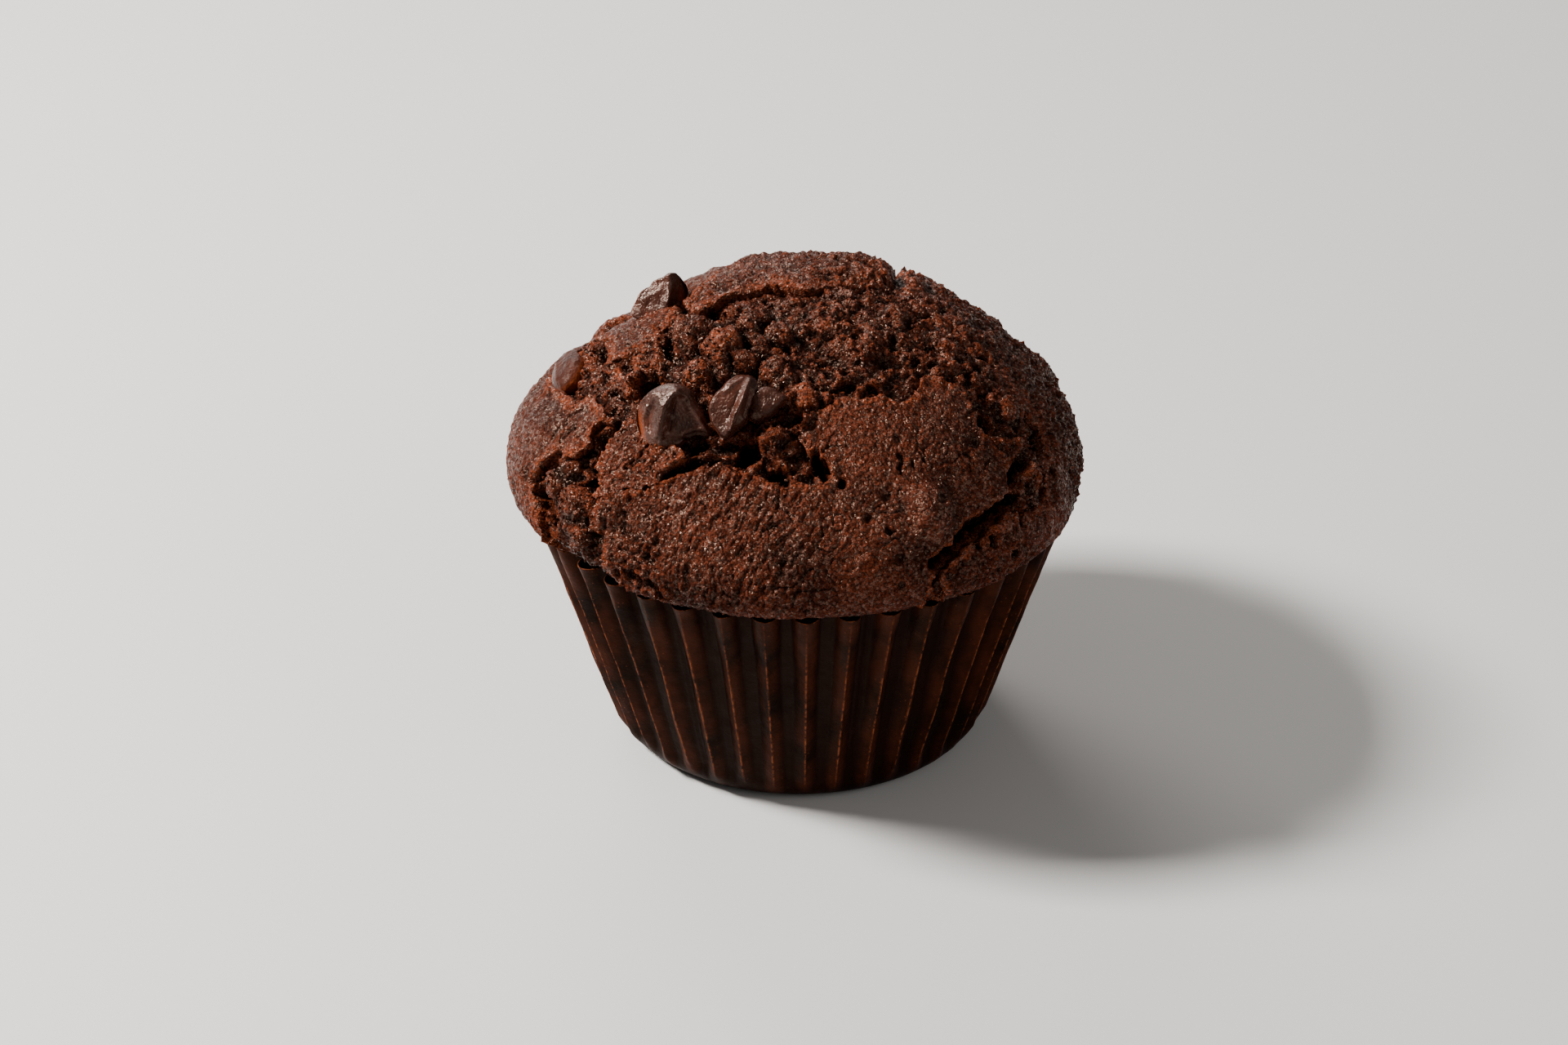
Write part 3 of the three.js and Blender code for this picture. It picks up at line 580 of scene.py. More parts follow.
# %% Height of the crumb
def crumb_height(m):
    """A torn level + lumps and swells + two sizes of nodules + billows - pores, or a clot's ball where
    that stands higher, - cuts, and lower still where crust covers it. A ball's height is
    top - 0.9 r (1 - square root of (1 - (d / r) squared)) at the distance d from its middle."""
    surface, soft = m["surface"], m["soft"]
    near_chips = hump(np.hypot(m["x"] + 8, m["y"] + 12), 16)  # the tear is deepest behind the chips
    bent = surface + 0.8 * noise_vector(surface, 2.8, 71)
    coarse = 1 - 0.35 * soft
    height = m["base"] - 1.3 - 0.75 * near_chips + 1.0 * soft + 0.5 * noise(surface, 6, 86)
    height += coarse * (1.1 * (nodules(bent, 4.4, 87) - 0.6) + 0.9 * (nodules(bent, 2.3, 88) - 0.6))
    height -= 1.2 * pores(bent, 2.6, 0.28, 91)
    nowhere = 9.0
    ball = np.full_like(height, -nowhere)
    for px, py, radius, top in CLOTS:
        square = ((m["wx"] - px) ** 2 + (m["wy"] - py) ** 2) / radius**2
        fallen = 0.9 * radius * (1 - np.sqrt(np.clip(1 - square, 0, 1)))
        ball = np.maximum(ball, top - fallen - nowhere * (square > 1))
    on_clot = smooth((ball - height) / 0.6)
    height = np.maximum(height, ball)
    height += (1.15 - 0.6 * on_clot) * (billows(bent, 1.9, 2, 200) - 0.27)
    height += (0.3 + 0.1 * on_clot) * (billows(surface, 0.8, 2, 230) - 0.27)
    height -= 0.6 * (1 - 0.5 * on_clot) * pores(surface, 1.3, 0.24, 92) + m["cut"]
    height = mix(-0.5, height, m["rim"])
    height -= 1.7 * smooth((m["depth"] - 0.6 - soft) / 1.2)
    return height


# %% [markdown]
# ## Grids that cover the crown
#
# A grid of rings round the top would be simpler, but its faces shrink to slivers at the pole. So the
# crumb and most of the crust lie on a square grid pressed into a disc. Its points are then crowded
# towards the front by a move that keeps small squares square. The front crust is one island between
# tears, so it gets a finer grid of its own: rows down the crown and columns round it.

# %% Grids on the map
def disc_grid(cells, pull, middle=1.0):
    """Map points of a square grid pressed into a disc: each square ring becomes a circle. middle under 1
    shrinks the central cells, as r becomes r (middle + (1 - middle) r squared). Then, with the disc's
    points as complex numbers z of length 1 at most, z becomes (z + a) / (1 + conj(a) z), which moves
    the middle to a = -i pull."""
    line = np.linspace(-1, 1, cells + 1)
    u, v = np.meshgrid(line, line, indexing="ij")
    share = np.maximum(np.abs(u), np.abs(v))
    eighth = np.pi / 4
    with np.errstate(divide="ignore", invalid="ignore"):
        side = np.where(u > 0, 2, 6) * eighth + np.nan_to_num(v / u) * eighth
        front = np.where(v > 0, 4, 0) * eighth - np.nan_to_num(u / v) * eighth
    angle = np.where(np.abs(u) > np.abs(v), side, front)
    share = share * (middle + (1 - middle) * share**2)
    z = share * (np.sin(angle) - 1j * np.cos(angle))
    z = (z - 1j * pull) / (1 + 1j * pull * z)
    return CROWN_ARC * z.real, CROWN_ARC * z.imag


def disc_faces(cells):
    """Triangles of the square grid, counter-clockwise seen from above the crown."""
    i, j = np.meshgrid(np.arange(cells), np.arange(cells), indexing="ij")
    a = i * (cells + 1) + j
    b, c, d = a + cells + 1, a + cells + 2, a + 1
    even = ((i < cells / 2) == (j < cells / 2))[..., None]
    first = np.where(even, np.stack([a, b, c], -1), np.stack([a, b, d], -1))
    second = np.where(even, np.stack([a, c, d], -1), np.stack([b, c, d], -1))
    return np.concatenate([first.reshape(-1, 3), second.reshape(-1, 3)])


def disc_edge(cells):
    """Indices of the square grid's outer ring, once round, counter-clockwise seen from above."""
    line = np.arange(cells)
    n = cells + 1
    return np.concatenate([line * n, cells * n + line, (cells - line) * n + cells, cells - line])


def sector_grid(rows, columns, arcs, angles):
    """Map points of rows down the crown and columns round it, between two arcs and two angles."""
    down, sideways = np.linspace(*arcs, rows), np.radians(np.linspace(*angles, columns))
    arc, angle = np.meshgrid(down, sideways, indexing="ij")
    return arc * np.sin(angle), -arc * np.cos(angle)


# %% [markdown]
# ## Flutes
#
# Both the paper and the cake in it follow the same forty flutes. A flute is a sharp fold that opens into
# a round lobe at the rim, and each has its own width, lean and depth, because the paper was gathered by
# a machine and then stretched by the dough. Paper and cake could each have waves of their own, but as
# both read these functions, neither pokes through the other.

# %% The flutes' shape
PITCH = FULL_TURN / FLUTES
slant = np.arctan2(RIM_RADIUS - FOOT_RADIUS, RIM_HEIGHT)
corner_centre = FOOT_RADIUS + CORNER_RADIUS * (np.tan(slant) - 1 / np.cos(slant))
corner_top = CORNER_RADIUS * (1 - np.sin(slant))


def crest_radius(z):
    """Radius of the flutes' crests at height z: a rounded corner, then a straight slant."""
    down = np.clip(CORNER_RADIUS - z, 0, CORNER_RADIUS)
    corner = corner_centre + np.sqrt(CORNER_RADIUS**2 - down**2)
    return np.where(z >= corner_top, FOOT_RADIUS + z * np.tan(slant), corner)


def flute_depth(z):
    """How far the valleys lie inside the crests: 2.4 at the rim, shrinking to nothing at the foot."""
    return mix(0.8, 2.4, np.clip(z / RIM_HEIGHT, 0, 1)) * smooth((z - 0.3) / 4)


def flute_wave(angle):
    """1 along a crest, and 0 along a valley that takes up half of each flute."""
    return smooth(np.cos((angle - FLUTE_TURN) * FLUTES))


# %% The cake's edge at the flutes
def tuck_in(points, x, y, inset=0.0):
    """Near the rim the cake's edge bulges a little into each lobe and draws back over the valleys. It
    ends well inside the lobes, which leaves a dark gap in each."""
    arc, angle = np.hypot(x, y), np.arctan2(x, -y)
    edge = smooth((arc - (CROWN_ARC - 4.5)) / 4.5)
    wave = flute_wave(angle)
    outward = np.stack([np.sin(angle), -np.cos(angle), np.zeros_like(angle)], -1)
    points = points + (edge * (0.3 * wave - 1.6 - inset))[..., None] * outward
    points[..., 2] += edge * (0.15 * wave - 0.1)
    return points


# %% [markdown]
# ## The cake's three pieces
#
# The crumb is one solid with a plug that fills the case. Two pieces of crust lie on it, as they do on
# the real muffin: they sink into the cake outside their plates, and at each torn edge the lip leans out
# while the wall under it draws back, so the overhangs are real. A blurred copy of the height says how
# far a point stands above what is round it, and painted light and shade follow from that: low places
# are coloured darker and raised ones lighter.

# %% A blurred copy of a grid
def blurred(field, reach):
    """A grid averaged over (2 reach + 1) squared neighbours, by differences of running sums."""
    for axis in (0, 1):
        pad = [(reach + 1, reach) if k == axis else (0, 0) for k in (0, 1)]
        total = np.cumsum(np.pad(field, pad, mode="edge"), axis)
        high = np.take(total, np.arange(2 * reach + 1, total.shape[axis]), axis)
        low = np.take(total, np.arange(0, total.shape[axis] - 2 * reach - 1), axis)
        field = (high - low) / (2 * reach + 1)
    return field


# %% The crust's surface
def crust_surface(x, y, plates):
    """Points and colour fields of crust over map points. The lip leans out by up to 0.5, and below it
    the wall draws back under the plate by up to 1.1."""
    surface, normal, right, up = crown_frame(x, y)
    m = read_layout(x, y, surface, plates)
    height, lip, creases, sunk = crust_height(m)
    lean = 0.5 * hump(m["depth"] - 0.2, 0.5) * (0.6 + 0.5 * noise(surface, 2.4, 62)) - 1.1 * sunk
    sideways = m["fall_x"][..., None] * right + m["fall_y"][..., None] * up
    points = surface + height[..., None] * normal + (lean * (0.2 + 0.8 * m["rim"]))[..., None] * sideways
    points += (0.06 * m["rim"])[..., None] * noise_vector(surface, 0.8, 63)
    torn = np.maximum(smooth((0.35 - m["depth"]) / 0.5), 0.5 * m["granular"])
    # Fields for painted light and shade: stands darkens low places and creases and lightens raised ones,
    # and sunk darkens pits, crevices and the drop into the cake.
    fields = dict(torn=torn, lip=lip, wet_and_shade=0 * lip,
                  stands=height - blurred(height, 4) - 0.15 * creases,
                  sunk=smooth((m["cut"] - 0.3) / 1.4) * m["rim"] + 0.6 * sunk)
    return tuck_in(points, x, y), fields


# %% The crumb's surface
def crumb_surface(x, y, plates):
    """Points and colour fields of the crumb over map points. Noise in all directions undercuts it."""
    surface, normal = crown_frame(x, y)[:2]
    m = read_layout(x, y, surface, plates)
    height = crumb_height(m)
    points = surface + height[..., None] * normal
    points += (0.3 * m["rim"])[..., None] * noise_vector(surface, 1.5, 101)
    points += (0.08 * m["rim"])[..., None] * noise_vector(surface, 0.7, 116)
    around = blurred(height, 14)
    warm = np.zeros_like(x)
    for px, py, radius in WARM:
        warm = np.maximum(warm, smooth(1.4 - np.hypot(x - px, y - py) / radius))
    # Fields for painted light and shade: low places are darkened, warm lumps take the lips' colour, and the
    # left crevices are darkened with the soaked crumb.
    fields = dict(torn=1 - 0.6 * m["soft"], lip=1.2 * warm, wet_and_shade=m["wet_and_shade"] * (1 - warm),
                  stands=height - blurred(height, 4),
                  sunk=smooth((around - height - 0.3) / 2.0) + smooth((-2.4 - height) / 2.5))
    return tuck_in(points, x, y, inset=0.25), fields, normal, m


# %% Closing the pieces
def plug_ring(angle, z, inset):
    """One ring of the cake inside the paper: clear of it everywhere, and drawn back from the flutes."""
    drawn_back = 0.9 * smooth((z - 20) / 14) * flute_wave(angle)
    radius = crest_radius(z) - flute_depth(z) * (1 - flute_wave(angle)) - inset - drawn_back
    return np.stack([radius * np.sin(angle), -radius * np.cos(angle), np.full_like(angle, z)], -1)


def finish_cake_piece(name, points, faces, fields, material):
    """Makes a piece of the cake, and gives its hidden extra points fields of 0."""
    piece = make_object(name, points, faces, material)
    for key, values in fields.items():
        flat = np.asarray(values, float).ravel()
        set_attribute(piece, key, np.append(flat, np.zeros(len(points) - flat.size)))
    return piece


def disc_piece(name, cells, points, fields, levels, inset, material):
    """Closes a disc grid by rings of the plug at the given heights and a flat foot."""
    ring = disc_edge(cells)
    flat = points.reshape(-1, 3)
    angle = np.arctan2(flat[ring, 0], -flat[ring, 1])
    rings = [plug_ring(angle, z, inset) for z in levels]
    joined = np.concatenate([ring, len(flat) + np.arange(len(levels) * len(ring))])
    wall = joined[grid_faces(len(levels) + 1, len(ring), closed=True)][:, ::-1]
    foot = fan_faces(joined[-len(ring):][::-1], len(flat) + len(levels) * len(ring))
    points = np.concatenate([flat, *rings, [[0, 0, levels[-1]]]])
    faces = np.concatenate([disc_faces(cells), wall, foot])
    return finish_cake_piece(name, points, faces, fields, material)


# %% [markdown]
# ## Materials
#
# Each finish is one Principled shader with a few texture nodes in front. The nodes could be dragged
# together by hand, but a few short helpers let a finish be read from top to bottom like a recipe.

# %% Node helpers
def new_material(name):
    """A material with its node tree and its Principled shader."""
    made = bpy.data.materials.new(name)
    made.use_nodes = True
    return made, made.node_tree, made.node_tree.nodes["Principled BSDF"]


def node(tree, kind, inputs=(), **settings):
    """Adds a node. inputs are (socket, value or output) pairs, and settings are the node's own."""
    made = tree.nodes.new(kind)
    for key, value in settings.items():
        setattr(made, key, value)
    for socket, value in inputs:
        if isinstance(value, bpy.types.NodeSocket):
            tree.links.new(value, made.inputs[socket])
        else:
            made.inputs[socket].default_value = value
    return made


def field(tree, name):
    """One of the numbers stored on the points."""
    return node(tree, "ShaderNodeAttribute", attribute_name=name).outputs["Fac"]


# %% Textures
def texture(tree, place, scale, detail=2.0, roughness=0.5):
    """Noise with about that many swells to a metre."""
    made = node(tree, "ShaderNodeTexNoise", [("Vector", place), ("Scale", scale), ("Detail", detail),
                                             ("Roughness", roughness)])
    return made.outputs["Fac"]


def grains(tree, place, scale):
    """Packed cells with about that many to a metre: the distance to each one's middle, and a number of
    its own for each cell."""
    made = node(tree, "ShaderNodeTexVoronoi", [("Vector", place), ("Scale", scale)])
    own = node(tree, "ShaderNodeSeparateColor", [("Color", made.outputs["Color"])])
    return made.outputs["Distance"], own.outputs["Red"]


# %% Mixing numbers and colours
def stretch(tree, value, low, high, to_low=0.0, to_high=1.0):
    """Maps a range of values onto another one, with the ends held."""
    made = node(tree, "ShaderNodeMapRange", [("Value", value), ("From Min", low), ("From Max", high),
                                             ("To Min", to_low), ("To Max", to_high)])
    return made.outputs["Result"]


def blend(tree, share, a, b):
    """Colour a where share is 0, and b where it is 1."""
    made = node(tree, "ShaderNodeMix", data_type="RGBA")
    for socket, value in ((made.inputs[0], share), (made.inputs[6], a), (made.inputs[7], b)):
        if isinstance(value, bpy.types.NodeSocket):
            tree.links.new(value, socket)
        else:
            socket.default_value = value
    return made.outputs[2]


def maths(tree, operation, a, b):
    """One sum on two numbers."""
    return node(tree, "ShaderNodeMath", [(0, a), (1, b)], operation=operation).outputs[0]


# %% Bumps and colours
def bump(tree, height, distance, under=None):
    """Turns a height into a bent normal. distance is the bump's real height in metres."""
    inputs = [("Height", height), ("Distance", distance), ("Strength", 1.0)]
    if under is not None:
        inputs.append(("Normal", under))
    return node(tree, "ShaderNodeBump", inputs).outputs["Normal"]


def colour(red, green, blue):
    """A colour from 0 to 255 a channel on the screen, as the linear light that shaders use:
    (c + 0.055) / 1.055 to the power 2.4, or c / 12.92 when dark."""
    screen = np.array([red, green, blue]) / 255
    linear = np.where(screen > 0.04045, ((screen + 0.055) / 1.055) ** 2.4, screen / 12.92)
    return (*linear.tolist(), 1.0)


# %% [markdown]
# ## The baked cake's finish
#
# Cocoa batter bakes to a dark red-brown. Crust is the lightest, because sugar and fat rise into it, and
# torn crumb is darker. Light and shade are painted in as well: hollows, low places and the gaps between
# grains are darkened as painted shade, nearly black in the deepest, and raised places and lips are
# lightened, partly as toasting and partly as painted light. An even noise over everything would look like
# paint, so colours are mixed by the fields that the shape left on the points. The finest grain is only a
# bump, because no mesh could hold it.

# %% The baked cake's finish
CRUST_DARK = colour(57, 24, 15)
CRUST_LIGHT = colour(100, 46, 29)
CRUMB_DARK = colour(27, 10, 6)
CRUMB_LIGHT = colour(82, 36, 22)
# Torn lips and raised places get this colour, partly as real toasting and partly as painted light: a glow
# through thin edges and a highlight on tops.
TOASTED_AND_LIT = colour(134, 62, 36)
# Painted shade: the near black laid into pits, crevices, low crumb and where the crust drops into the cake.
HOLLOW_SHADE = colour(8, 3, 2)
CAKE_SHEEN = (1.0, 0.62, 0.46, 1.0)


def baked_finish():
    """Crust, crumb, lips and hollows in one finish, with painted shade in hollows, low places and the gaps
    between grains, and painted light on raised places and lips. Sugar and fat leave a moist skin on the
    grains, so some of them glint."""
    made, tree, shader = new_material("baked_chocolate_cake")
    place = node(tree, "ShaderNodeTexCoord").outputs["Object"]
    torn, lip, sunk = field(tree, "torn"), field(tree, "lip"), field(tree, "sunk")
    stands, wet_and_shade = field(tree, "stands"), field(tree, "wet_and_shade")
    parts = node(tree, "ShaderNodeSeparateXYZ", [("Vector", place)]).outputs
    granule, own = grains(tree, place, 3100.0)
    grit = texture(tree, place, 2800, 3, 0.6)
    rubble = texture(tree, place, 1300, 3, 0.6)

    patches = texture(tree, place, 110, 4, 0.6)
    crust = blend(tree, stretch(tree, patches, 0.36, 0.64), CRUST_DARK, CRUST_LIGHT)
    # Painted light and shade: the crumb is darker where it lies below what is round it and lighter where it
    # stands above.
    crumb = blend(tree, stretch(tree, stands, -0.3, 0.3), CRUMB_DARK, CRUMB_LIGHT)
    base = blend(tree, torn, crust, crumb)
    # Painted shade: every low place is darkened.
    base = blend(tree, stretch(tree, stands, -0.03, -0.22, 0, 0.8), base, CRUMB_DARK)
    # Torn lips, broken up by noise: partly toasted, partly a painted glow of light through the thin edge.
    toast_and_glow = maths(tree, "MULTIPLY", lip, stretch(tree, rubble, 0.4, 0.6, 0, 0.75))
    base = blend(tree, toast_and_glow, base, TOASTED_AND_LIT)
    # Painted light: raised places are lightened towards the toasted colour.
    base = blend(tree, stretch(tree, stands, 0.12, 0.45, 0, 0.4), base, TOASTED_AND_LIT)
    # Painted shade in the gaps between the fine grains that the bumps below raise, read from the same two
    # patterns.
    base = blend(tree, stretch(tree, grit, 0.48, 0.36, 0, 0.5), base, CRUMB_DARK)
    base = blend(tree, stretch(tree, granule, 0.42, 0.75, 0, 0.75), base, CRUMB_DARK)
    # Darker and shinier where chocolate soaked the crumb; the patches in the left crevices are painted
    # shade.
    base = blend(tree, maths(tree, "MULTIPLY", wet_and_shade, 0.4), base, CRUMB_DARK)
    # Painted shade: pits, crevices, the crumb's low places and the crust's drop into the cake go near
    # black.
    base = blend(tree, stretch(tree, sunk, 0.1, 0.9, 0, 0.95), base, HOLLOW_SHADE)
    tree.links.new(base, shader.inputs["Base Color"])

    rough = stretch(tree, own, 0, 1, 0.46, 0.22)
    rough = maths(tree, "SUBTRACT", rough, maths(tree, "MULTIPLY", wet_and_shade, 0.06))
    tree.links.new(rough, shader.inputs["Roughness"])
    dim = stretch(tree, sunk, 0.1, 0.7, 1, 0.2)
    dim = maths(tree, "MULTIPLY", dim, stretch(tree, parts["Z"], 0.034, 0.044, 0.3, 1))
    shine = maths(tree, "MULTIPLY", stretch(tree, own, 0.52, 0.88, 0.05, 1.0), dim)
    tree.links.new(shine, shader.inputs["Specular IOR Level"])
    shader.inputs["Specular Tint"].default_value = CAKE_SHEEN

    # The front crust was stretched as it rose, so its grain runs in ribs up to the right.
    leaning = node(tree, "ShaderNodeMapping", [("Vector", place), ("Rotation", (0, np.radians(40), 0)),
                                               ("Scale", (1, 1, 4))], vector_type="TEXTURE")
    ribs = texture(tree, leaning.outputs["Vector"], 1700, 2, 0.5)
    left, front = stretch(tree, parts["X"], 0.006, -0.004), stretch(tree, parts["Y"], -0.022, -0.03)
    under = bump(tree, maths(tree, "MULTIPLY", ribs, maths(tree, "MULTIPLY", left, front)), 0.0007)
    under = bump(tree, rubble, 0.0006, under)
    under = bump(tree, grit, 0.0003, under)
    pebbles = maths(tree, "SUBTRACT", 1.0, maths(tree, "MULTIPLY", granule, granule))
    tree.links.new(bump(tree, pebbles, 0.00012, under), shader.inputs["Normal"])
    return made


cake_finish = baked_finish()

# %% [markdown]
# ## Making the cake
#
# The counts of cells keep each piece under 200,000 triangles and still leave only 0.1 to 0.4 mm between
# the points in front. A single mesh for the whole cake would be coarser, and its crust couldn't overhang
# the crumb.

# %% Make the crumb
CRUMB_CELLS = 302
ALL_PLATES = {**FRONT_PLATES, **OTHER_PLATES}
crumb_x, crumb_y = disc_grid(CRUMB_CELLS, pull=0.26, middle=0.7)
crumb_points, crumb_fields, crumb_normal, crumb_marks = crumb_surface(crumb_x, crumb_y, ALL_PLATES)
crumb = disc_piece("cake_crumb", CRUMB_CELLS, crumb_points, crumb_fields,
                   (RIM_HEIGHT - 1.2, 11.0, 7.0, 3.4, 0.8), 0.75, cake_finish)

# %% Make the crust round the sides, on the top and behind
CRUST_CELLS = 306
crust_x, crust_y = disc_grid(CRUST_CELLS, pull=0.12)
crust_points, crust_fields = crust_surface(crust_x, crust_y, OTHER_PLATES)
side_crust = disc_piece("cake_crust_sides_and_top", CRUST_CELLS, crust_points, crust_fields,
                        (RIM_HEIGHT - 1.5,), 0.9, cake_finish)

# %% Make the front crust
ROWS, COLUMNS = 216, 430
front_x, front_y = sector_grid(ROWS, COLUMNS, (19.5, CROWN_ARC), (-56, 61))
front_points, front_fields = crust_surface(front_x, front_y, FRONT_PLATES)
border = np.concatenate([
    np.arange(COLUMNS), np.arange(1, ROWS) * COLUMNS + COLUMNS - 1,
    (ROWS - 1) * COLUMNS + np.arange(COLUMNS - 2, -1, -1), np.arange(ROWS - 2, 0, -1) * COLUMNS,
])
DEEP_INSIDE = [[0, -10, 33]]  # the border is closed by a fan to this point, which the crumb hides
front_faces = np.concatenate([grid_faces(ROWS, COLUMNS)[:, ::-1], fan_faces(border, ROWS * COLUMNS)])
front_crust = finish_cake_piece(
    "cake_crust_front", np.concatenate([front_points.reshape(-1, 3), DEEP_INSIDE]), front_faces,
    front_fields, cake_finish,
)
for piece in (crumb, side_crust, front_crust):
    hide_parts("cake")

# %% [markdown]
# ## Loose grains
#
# Torn crumb is full of grains that hang on by a corner. A mesh grid can't undercut them, so they are
# little lumps of their own, a few dozen faces each. A particle system could scatter them, but as arrays
# they are all worked out together and joined into one mesh. Each sits on a random point of the crumb,
# half sunk, with its own size and its own dents.

# %% Grains of crumb
rng = np.random.default_rng(7)
RING, LATITUDES = 6, (-50, 0, 50)  # points in each ring of a grain, and the rings' elevations in degrees


def scatter_grains(name, count, centres, outward, weights, smallest, largest, torn, material):
    """Joined lumps: each is a ball of a few rings of points and 2 poles, its radius changed by noise
    that is read at another place for each grain."""
    picked = rng.choice(len(centres), count, replace=False, p=weights / weights.sum())
    size = smallest + (largest - smallest) * rng.random(count) ** 2.5
    up = np.radians(LATITUDES)[:, None]
    turn = np.arange(RING) * FULL_TURN / RING + np.array([[0], [0.5], [0]])
    ball = np.stack([np.cos(up) * np.cos(turn), np.cos(up) * np.sin(turn), np.sin(up) + 0 * turn], -1)
    ball = np.concatenate([ball.reshape(-1, 3), [[0, 0, -1], [0, 0, 1]]])
    stretched = ball[None] * (0.8 + 0.45 * rng.random((count, 1, 3)))
    stretched *= (1 + 0.3 * noise(stretched + 360 * rng.random((count, 1, 3)), 1.1, 131))[..., None]
    points = centres[picked][:, None] + size[:, None, None] * (stretched + 0.25 * outward[picked][:, None])
    last = (len(LATITUDES) - 1) * RING
    one = np.concatenate([
        grid_faces(len(LATITUDES), RING, closed=True), fan_faces(np.arange(RING)[::-1], last + RING),
        fan_faces(last + np.arange(RING), last + RING + 1),
    ])
    faces = (one[None] + len(ball) * np.arange(count)[:, None, None]).reshape(-1, 3)
    grain = make_object(name, points.reshape(-1, 3), faces, material)
    tint = np.repeat(rng.random(count), len(ball))
    height = np.tile(ball[:, 2], count)
    set_attribute(grain, "torn", np.full(count * len(ball), torn))
    # Painted light and shade on each grain: lighter on top and darker underneath, over a random tone of its
    # own.
    set_attribute(grain, "stands", 0.3 * tint + 0.1 * height - 0.12)


# %% Scatter them over the open crumb
def grid_area(points):
    """Area of the cell at each grid point: the length of the cross product of its two slopes."""
    across = np.cross(np.gradient(points, axis=0), np.gradient(points, axis=1))
    return np.linalg.norm(across, axis=-1)


open_crumb = smooth((-crumb_marks["depth"] - 0.1) / 0.5) * (crumb_marks["rim"] > 0.3)
weights = (grid_area(crumb_points) * open_crumb * (1 - 0.6 * crumb_marks["wet_and_shade"])).ravel()
scatter_grains("cake_crumb_grains", 4200, crumb_points.reshape(-1, 3), crumb_normal.reshape(-1, 3), weights,
               0.08, 0.26, 1.0, cake_finish)

# %% [markdown]
# ## Chocolate chips
#
# A baking chip starts as a pointed drop and slumps in the oven, so no two end alike. Metaballs would
# round them all off, so each is a pebble with its own outline, drawn on a plane that leans back as the
# muffin's front does. It bulges forwards and backwards from that plane. Folds come as lines on the same
# plane, and facets as tilted planes that cut flat places into its front.

# %% The chips' shapes
CHIP_ROWS, CHIP_COLUMNS = 90, 140
LEAN_BACK = np.radians(30)
LEANING_PLANE = np.array([
    [1, 0, 0], [0, np.sin(LEAN_BACK), np.cos(LEAN_BACK)], [0, -np.cos(LEAN_BACK), np.sin(LEAN_BACK)],
])


def chip_points(outline, bulge, folds, facets):
    """Rings from the back pole to the front pole. At elevation e and direction a, a point is at
    rho(a) cos(e) to the power 0.7 on the plane and bulge sin(e) off it, where rho is the outline's
    radius, read between its points and averaged over a few degrees. A facet is a tilted plane that
    cuts off what stands above it, and a fold adds a ridge, or a groove if its rise is negative."""
    elevation = np.linspace(-np.pi / 2, np.pi / 2, CHIP_ROWS + 2)[1:-1, None]
    direction = np.linspace(-np.pi, np.pi, CHIP_COLUMNS, endpoint=False)
    corner = np.array(outline)
    turn, length = np.arctan2(corner[:, 1], corner[:, 0]), np.hypot(*corner.T)
    reach = np.interp(direction, turn, length, period=FULL_TURN)
    for _ in range(2):
        reach = (np.roll(reach, 1) + 2 * reach + np.roll(reach, -1)) / 4
    flat = reach * np.cos(elevation) ** 0.7
    across, along = flat * np.cos(direction), flat * np.sin(direction)
    off = np.where(elevation > 0, bulge[1], bulge[0]) * np.sin(elevation) + 0 * across
    for height, slope_across, slope_along in facets:
        above = off - (height + slope_across * across + slope_along * along)
        off = np.where(elevation > 0, off - 0.1 * np.log1p(np.exp(np.clip(above / 0.1, -30, 30))), off)
    front = smooth(np.sin(elevation) * 3.5)
    for line, half, rise in folds:
        away = np.hypot(*away_from(across, along, line))
        off = off + front * rise * np.exp(-((away / half) ** 1.6))
    rings = np.stack([across, along, off], -1).reshape(-1, 3)
    return np.concatenate([rings, [[0, 0, -bulge[0]], rings[-CHIP_COLUMNS:].mean(0)]])


# %% Standing a chip on the crown
def build_chip(node_name, at, lift, outline, bulge, folds, facets, material, plane=LEANING_PLANE, dull=0.0):
    """Stands a chip on the crown at a map point. plane holds its right, up and forward directions. The
    field thin is 1 along its outline, where light gets through it, and 0 on its body. dull is 1 for a
    chip with a skin of dry batter."""
    surface, normal = (v[0] for v in crown_frame(np.array([at[0]]), np.array([at[1]]))[:2])
    local = chip_points(outline, bulge, folds, facets)
    local += 0.05 * noise_vector(local + 50, 1.3, 141) + 0.03 * noise_vector(local + 50, 0.5, 156)
    points = surface + lift * normal + local @ plane
    ring, poles = np.arange(CHIP_COLUMNS), CHIP_ROWS * CHIP_COLUMNS
    faces = np.concatenate([
        grid_faces(CHIP_ROWS, CHIP_COLUMNS, closed=True), fan_faces(ring[::-1], poles),
        fan_faces(poles - CHIP_COLUMNS + ring, poles + 1),
    ])
    chip = make_object("chocolate_" + node_name, points, faces, material)
    thin = smooth(1.1 - np.abs(local[:, 2] + 0.2) / 0.9) * smooth(0.7 - local[:, 1] / 3)
    set_attribute(chip, "thin", thin)
    set_attribute(chip, "dull", np.full(len(points), dull))
    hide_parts(node_name)


# %% [markdown]
# ## The chocolate's finish
#
# Chocolate that has melted and set again loses its polish, and a thin edge glows browner than the body.
# Subsurface light would show that too, but it is slow and grainy on pieces this small, so the edge is
# a colour laid over the field that the chip's shape left on its points.

# %% The chocolate's finish
CHOCOLATE_DARK = colour(38, 17, 12)
CHOCOLATE_LIGHT = colour(66, 33, 24)
CHOCOLATE_THIN = colour(116, 50, 22)
CHOCOLATE_SHEEN = (1.0, 0.72, 0.6, 1.0)


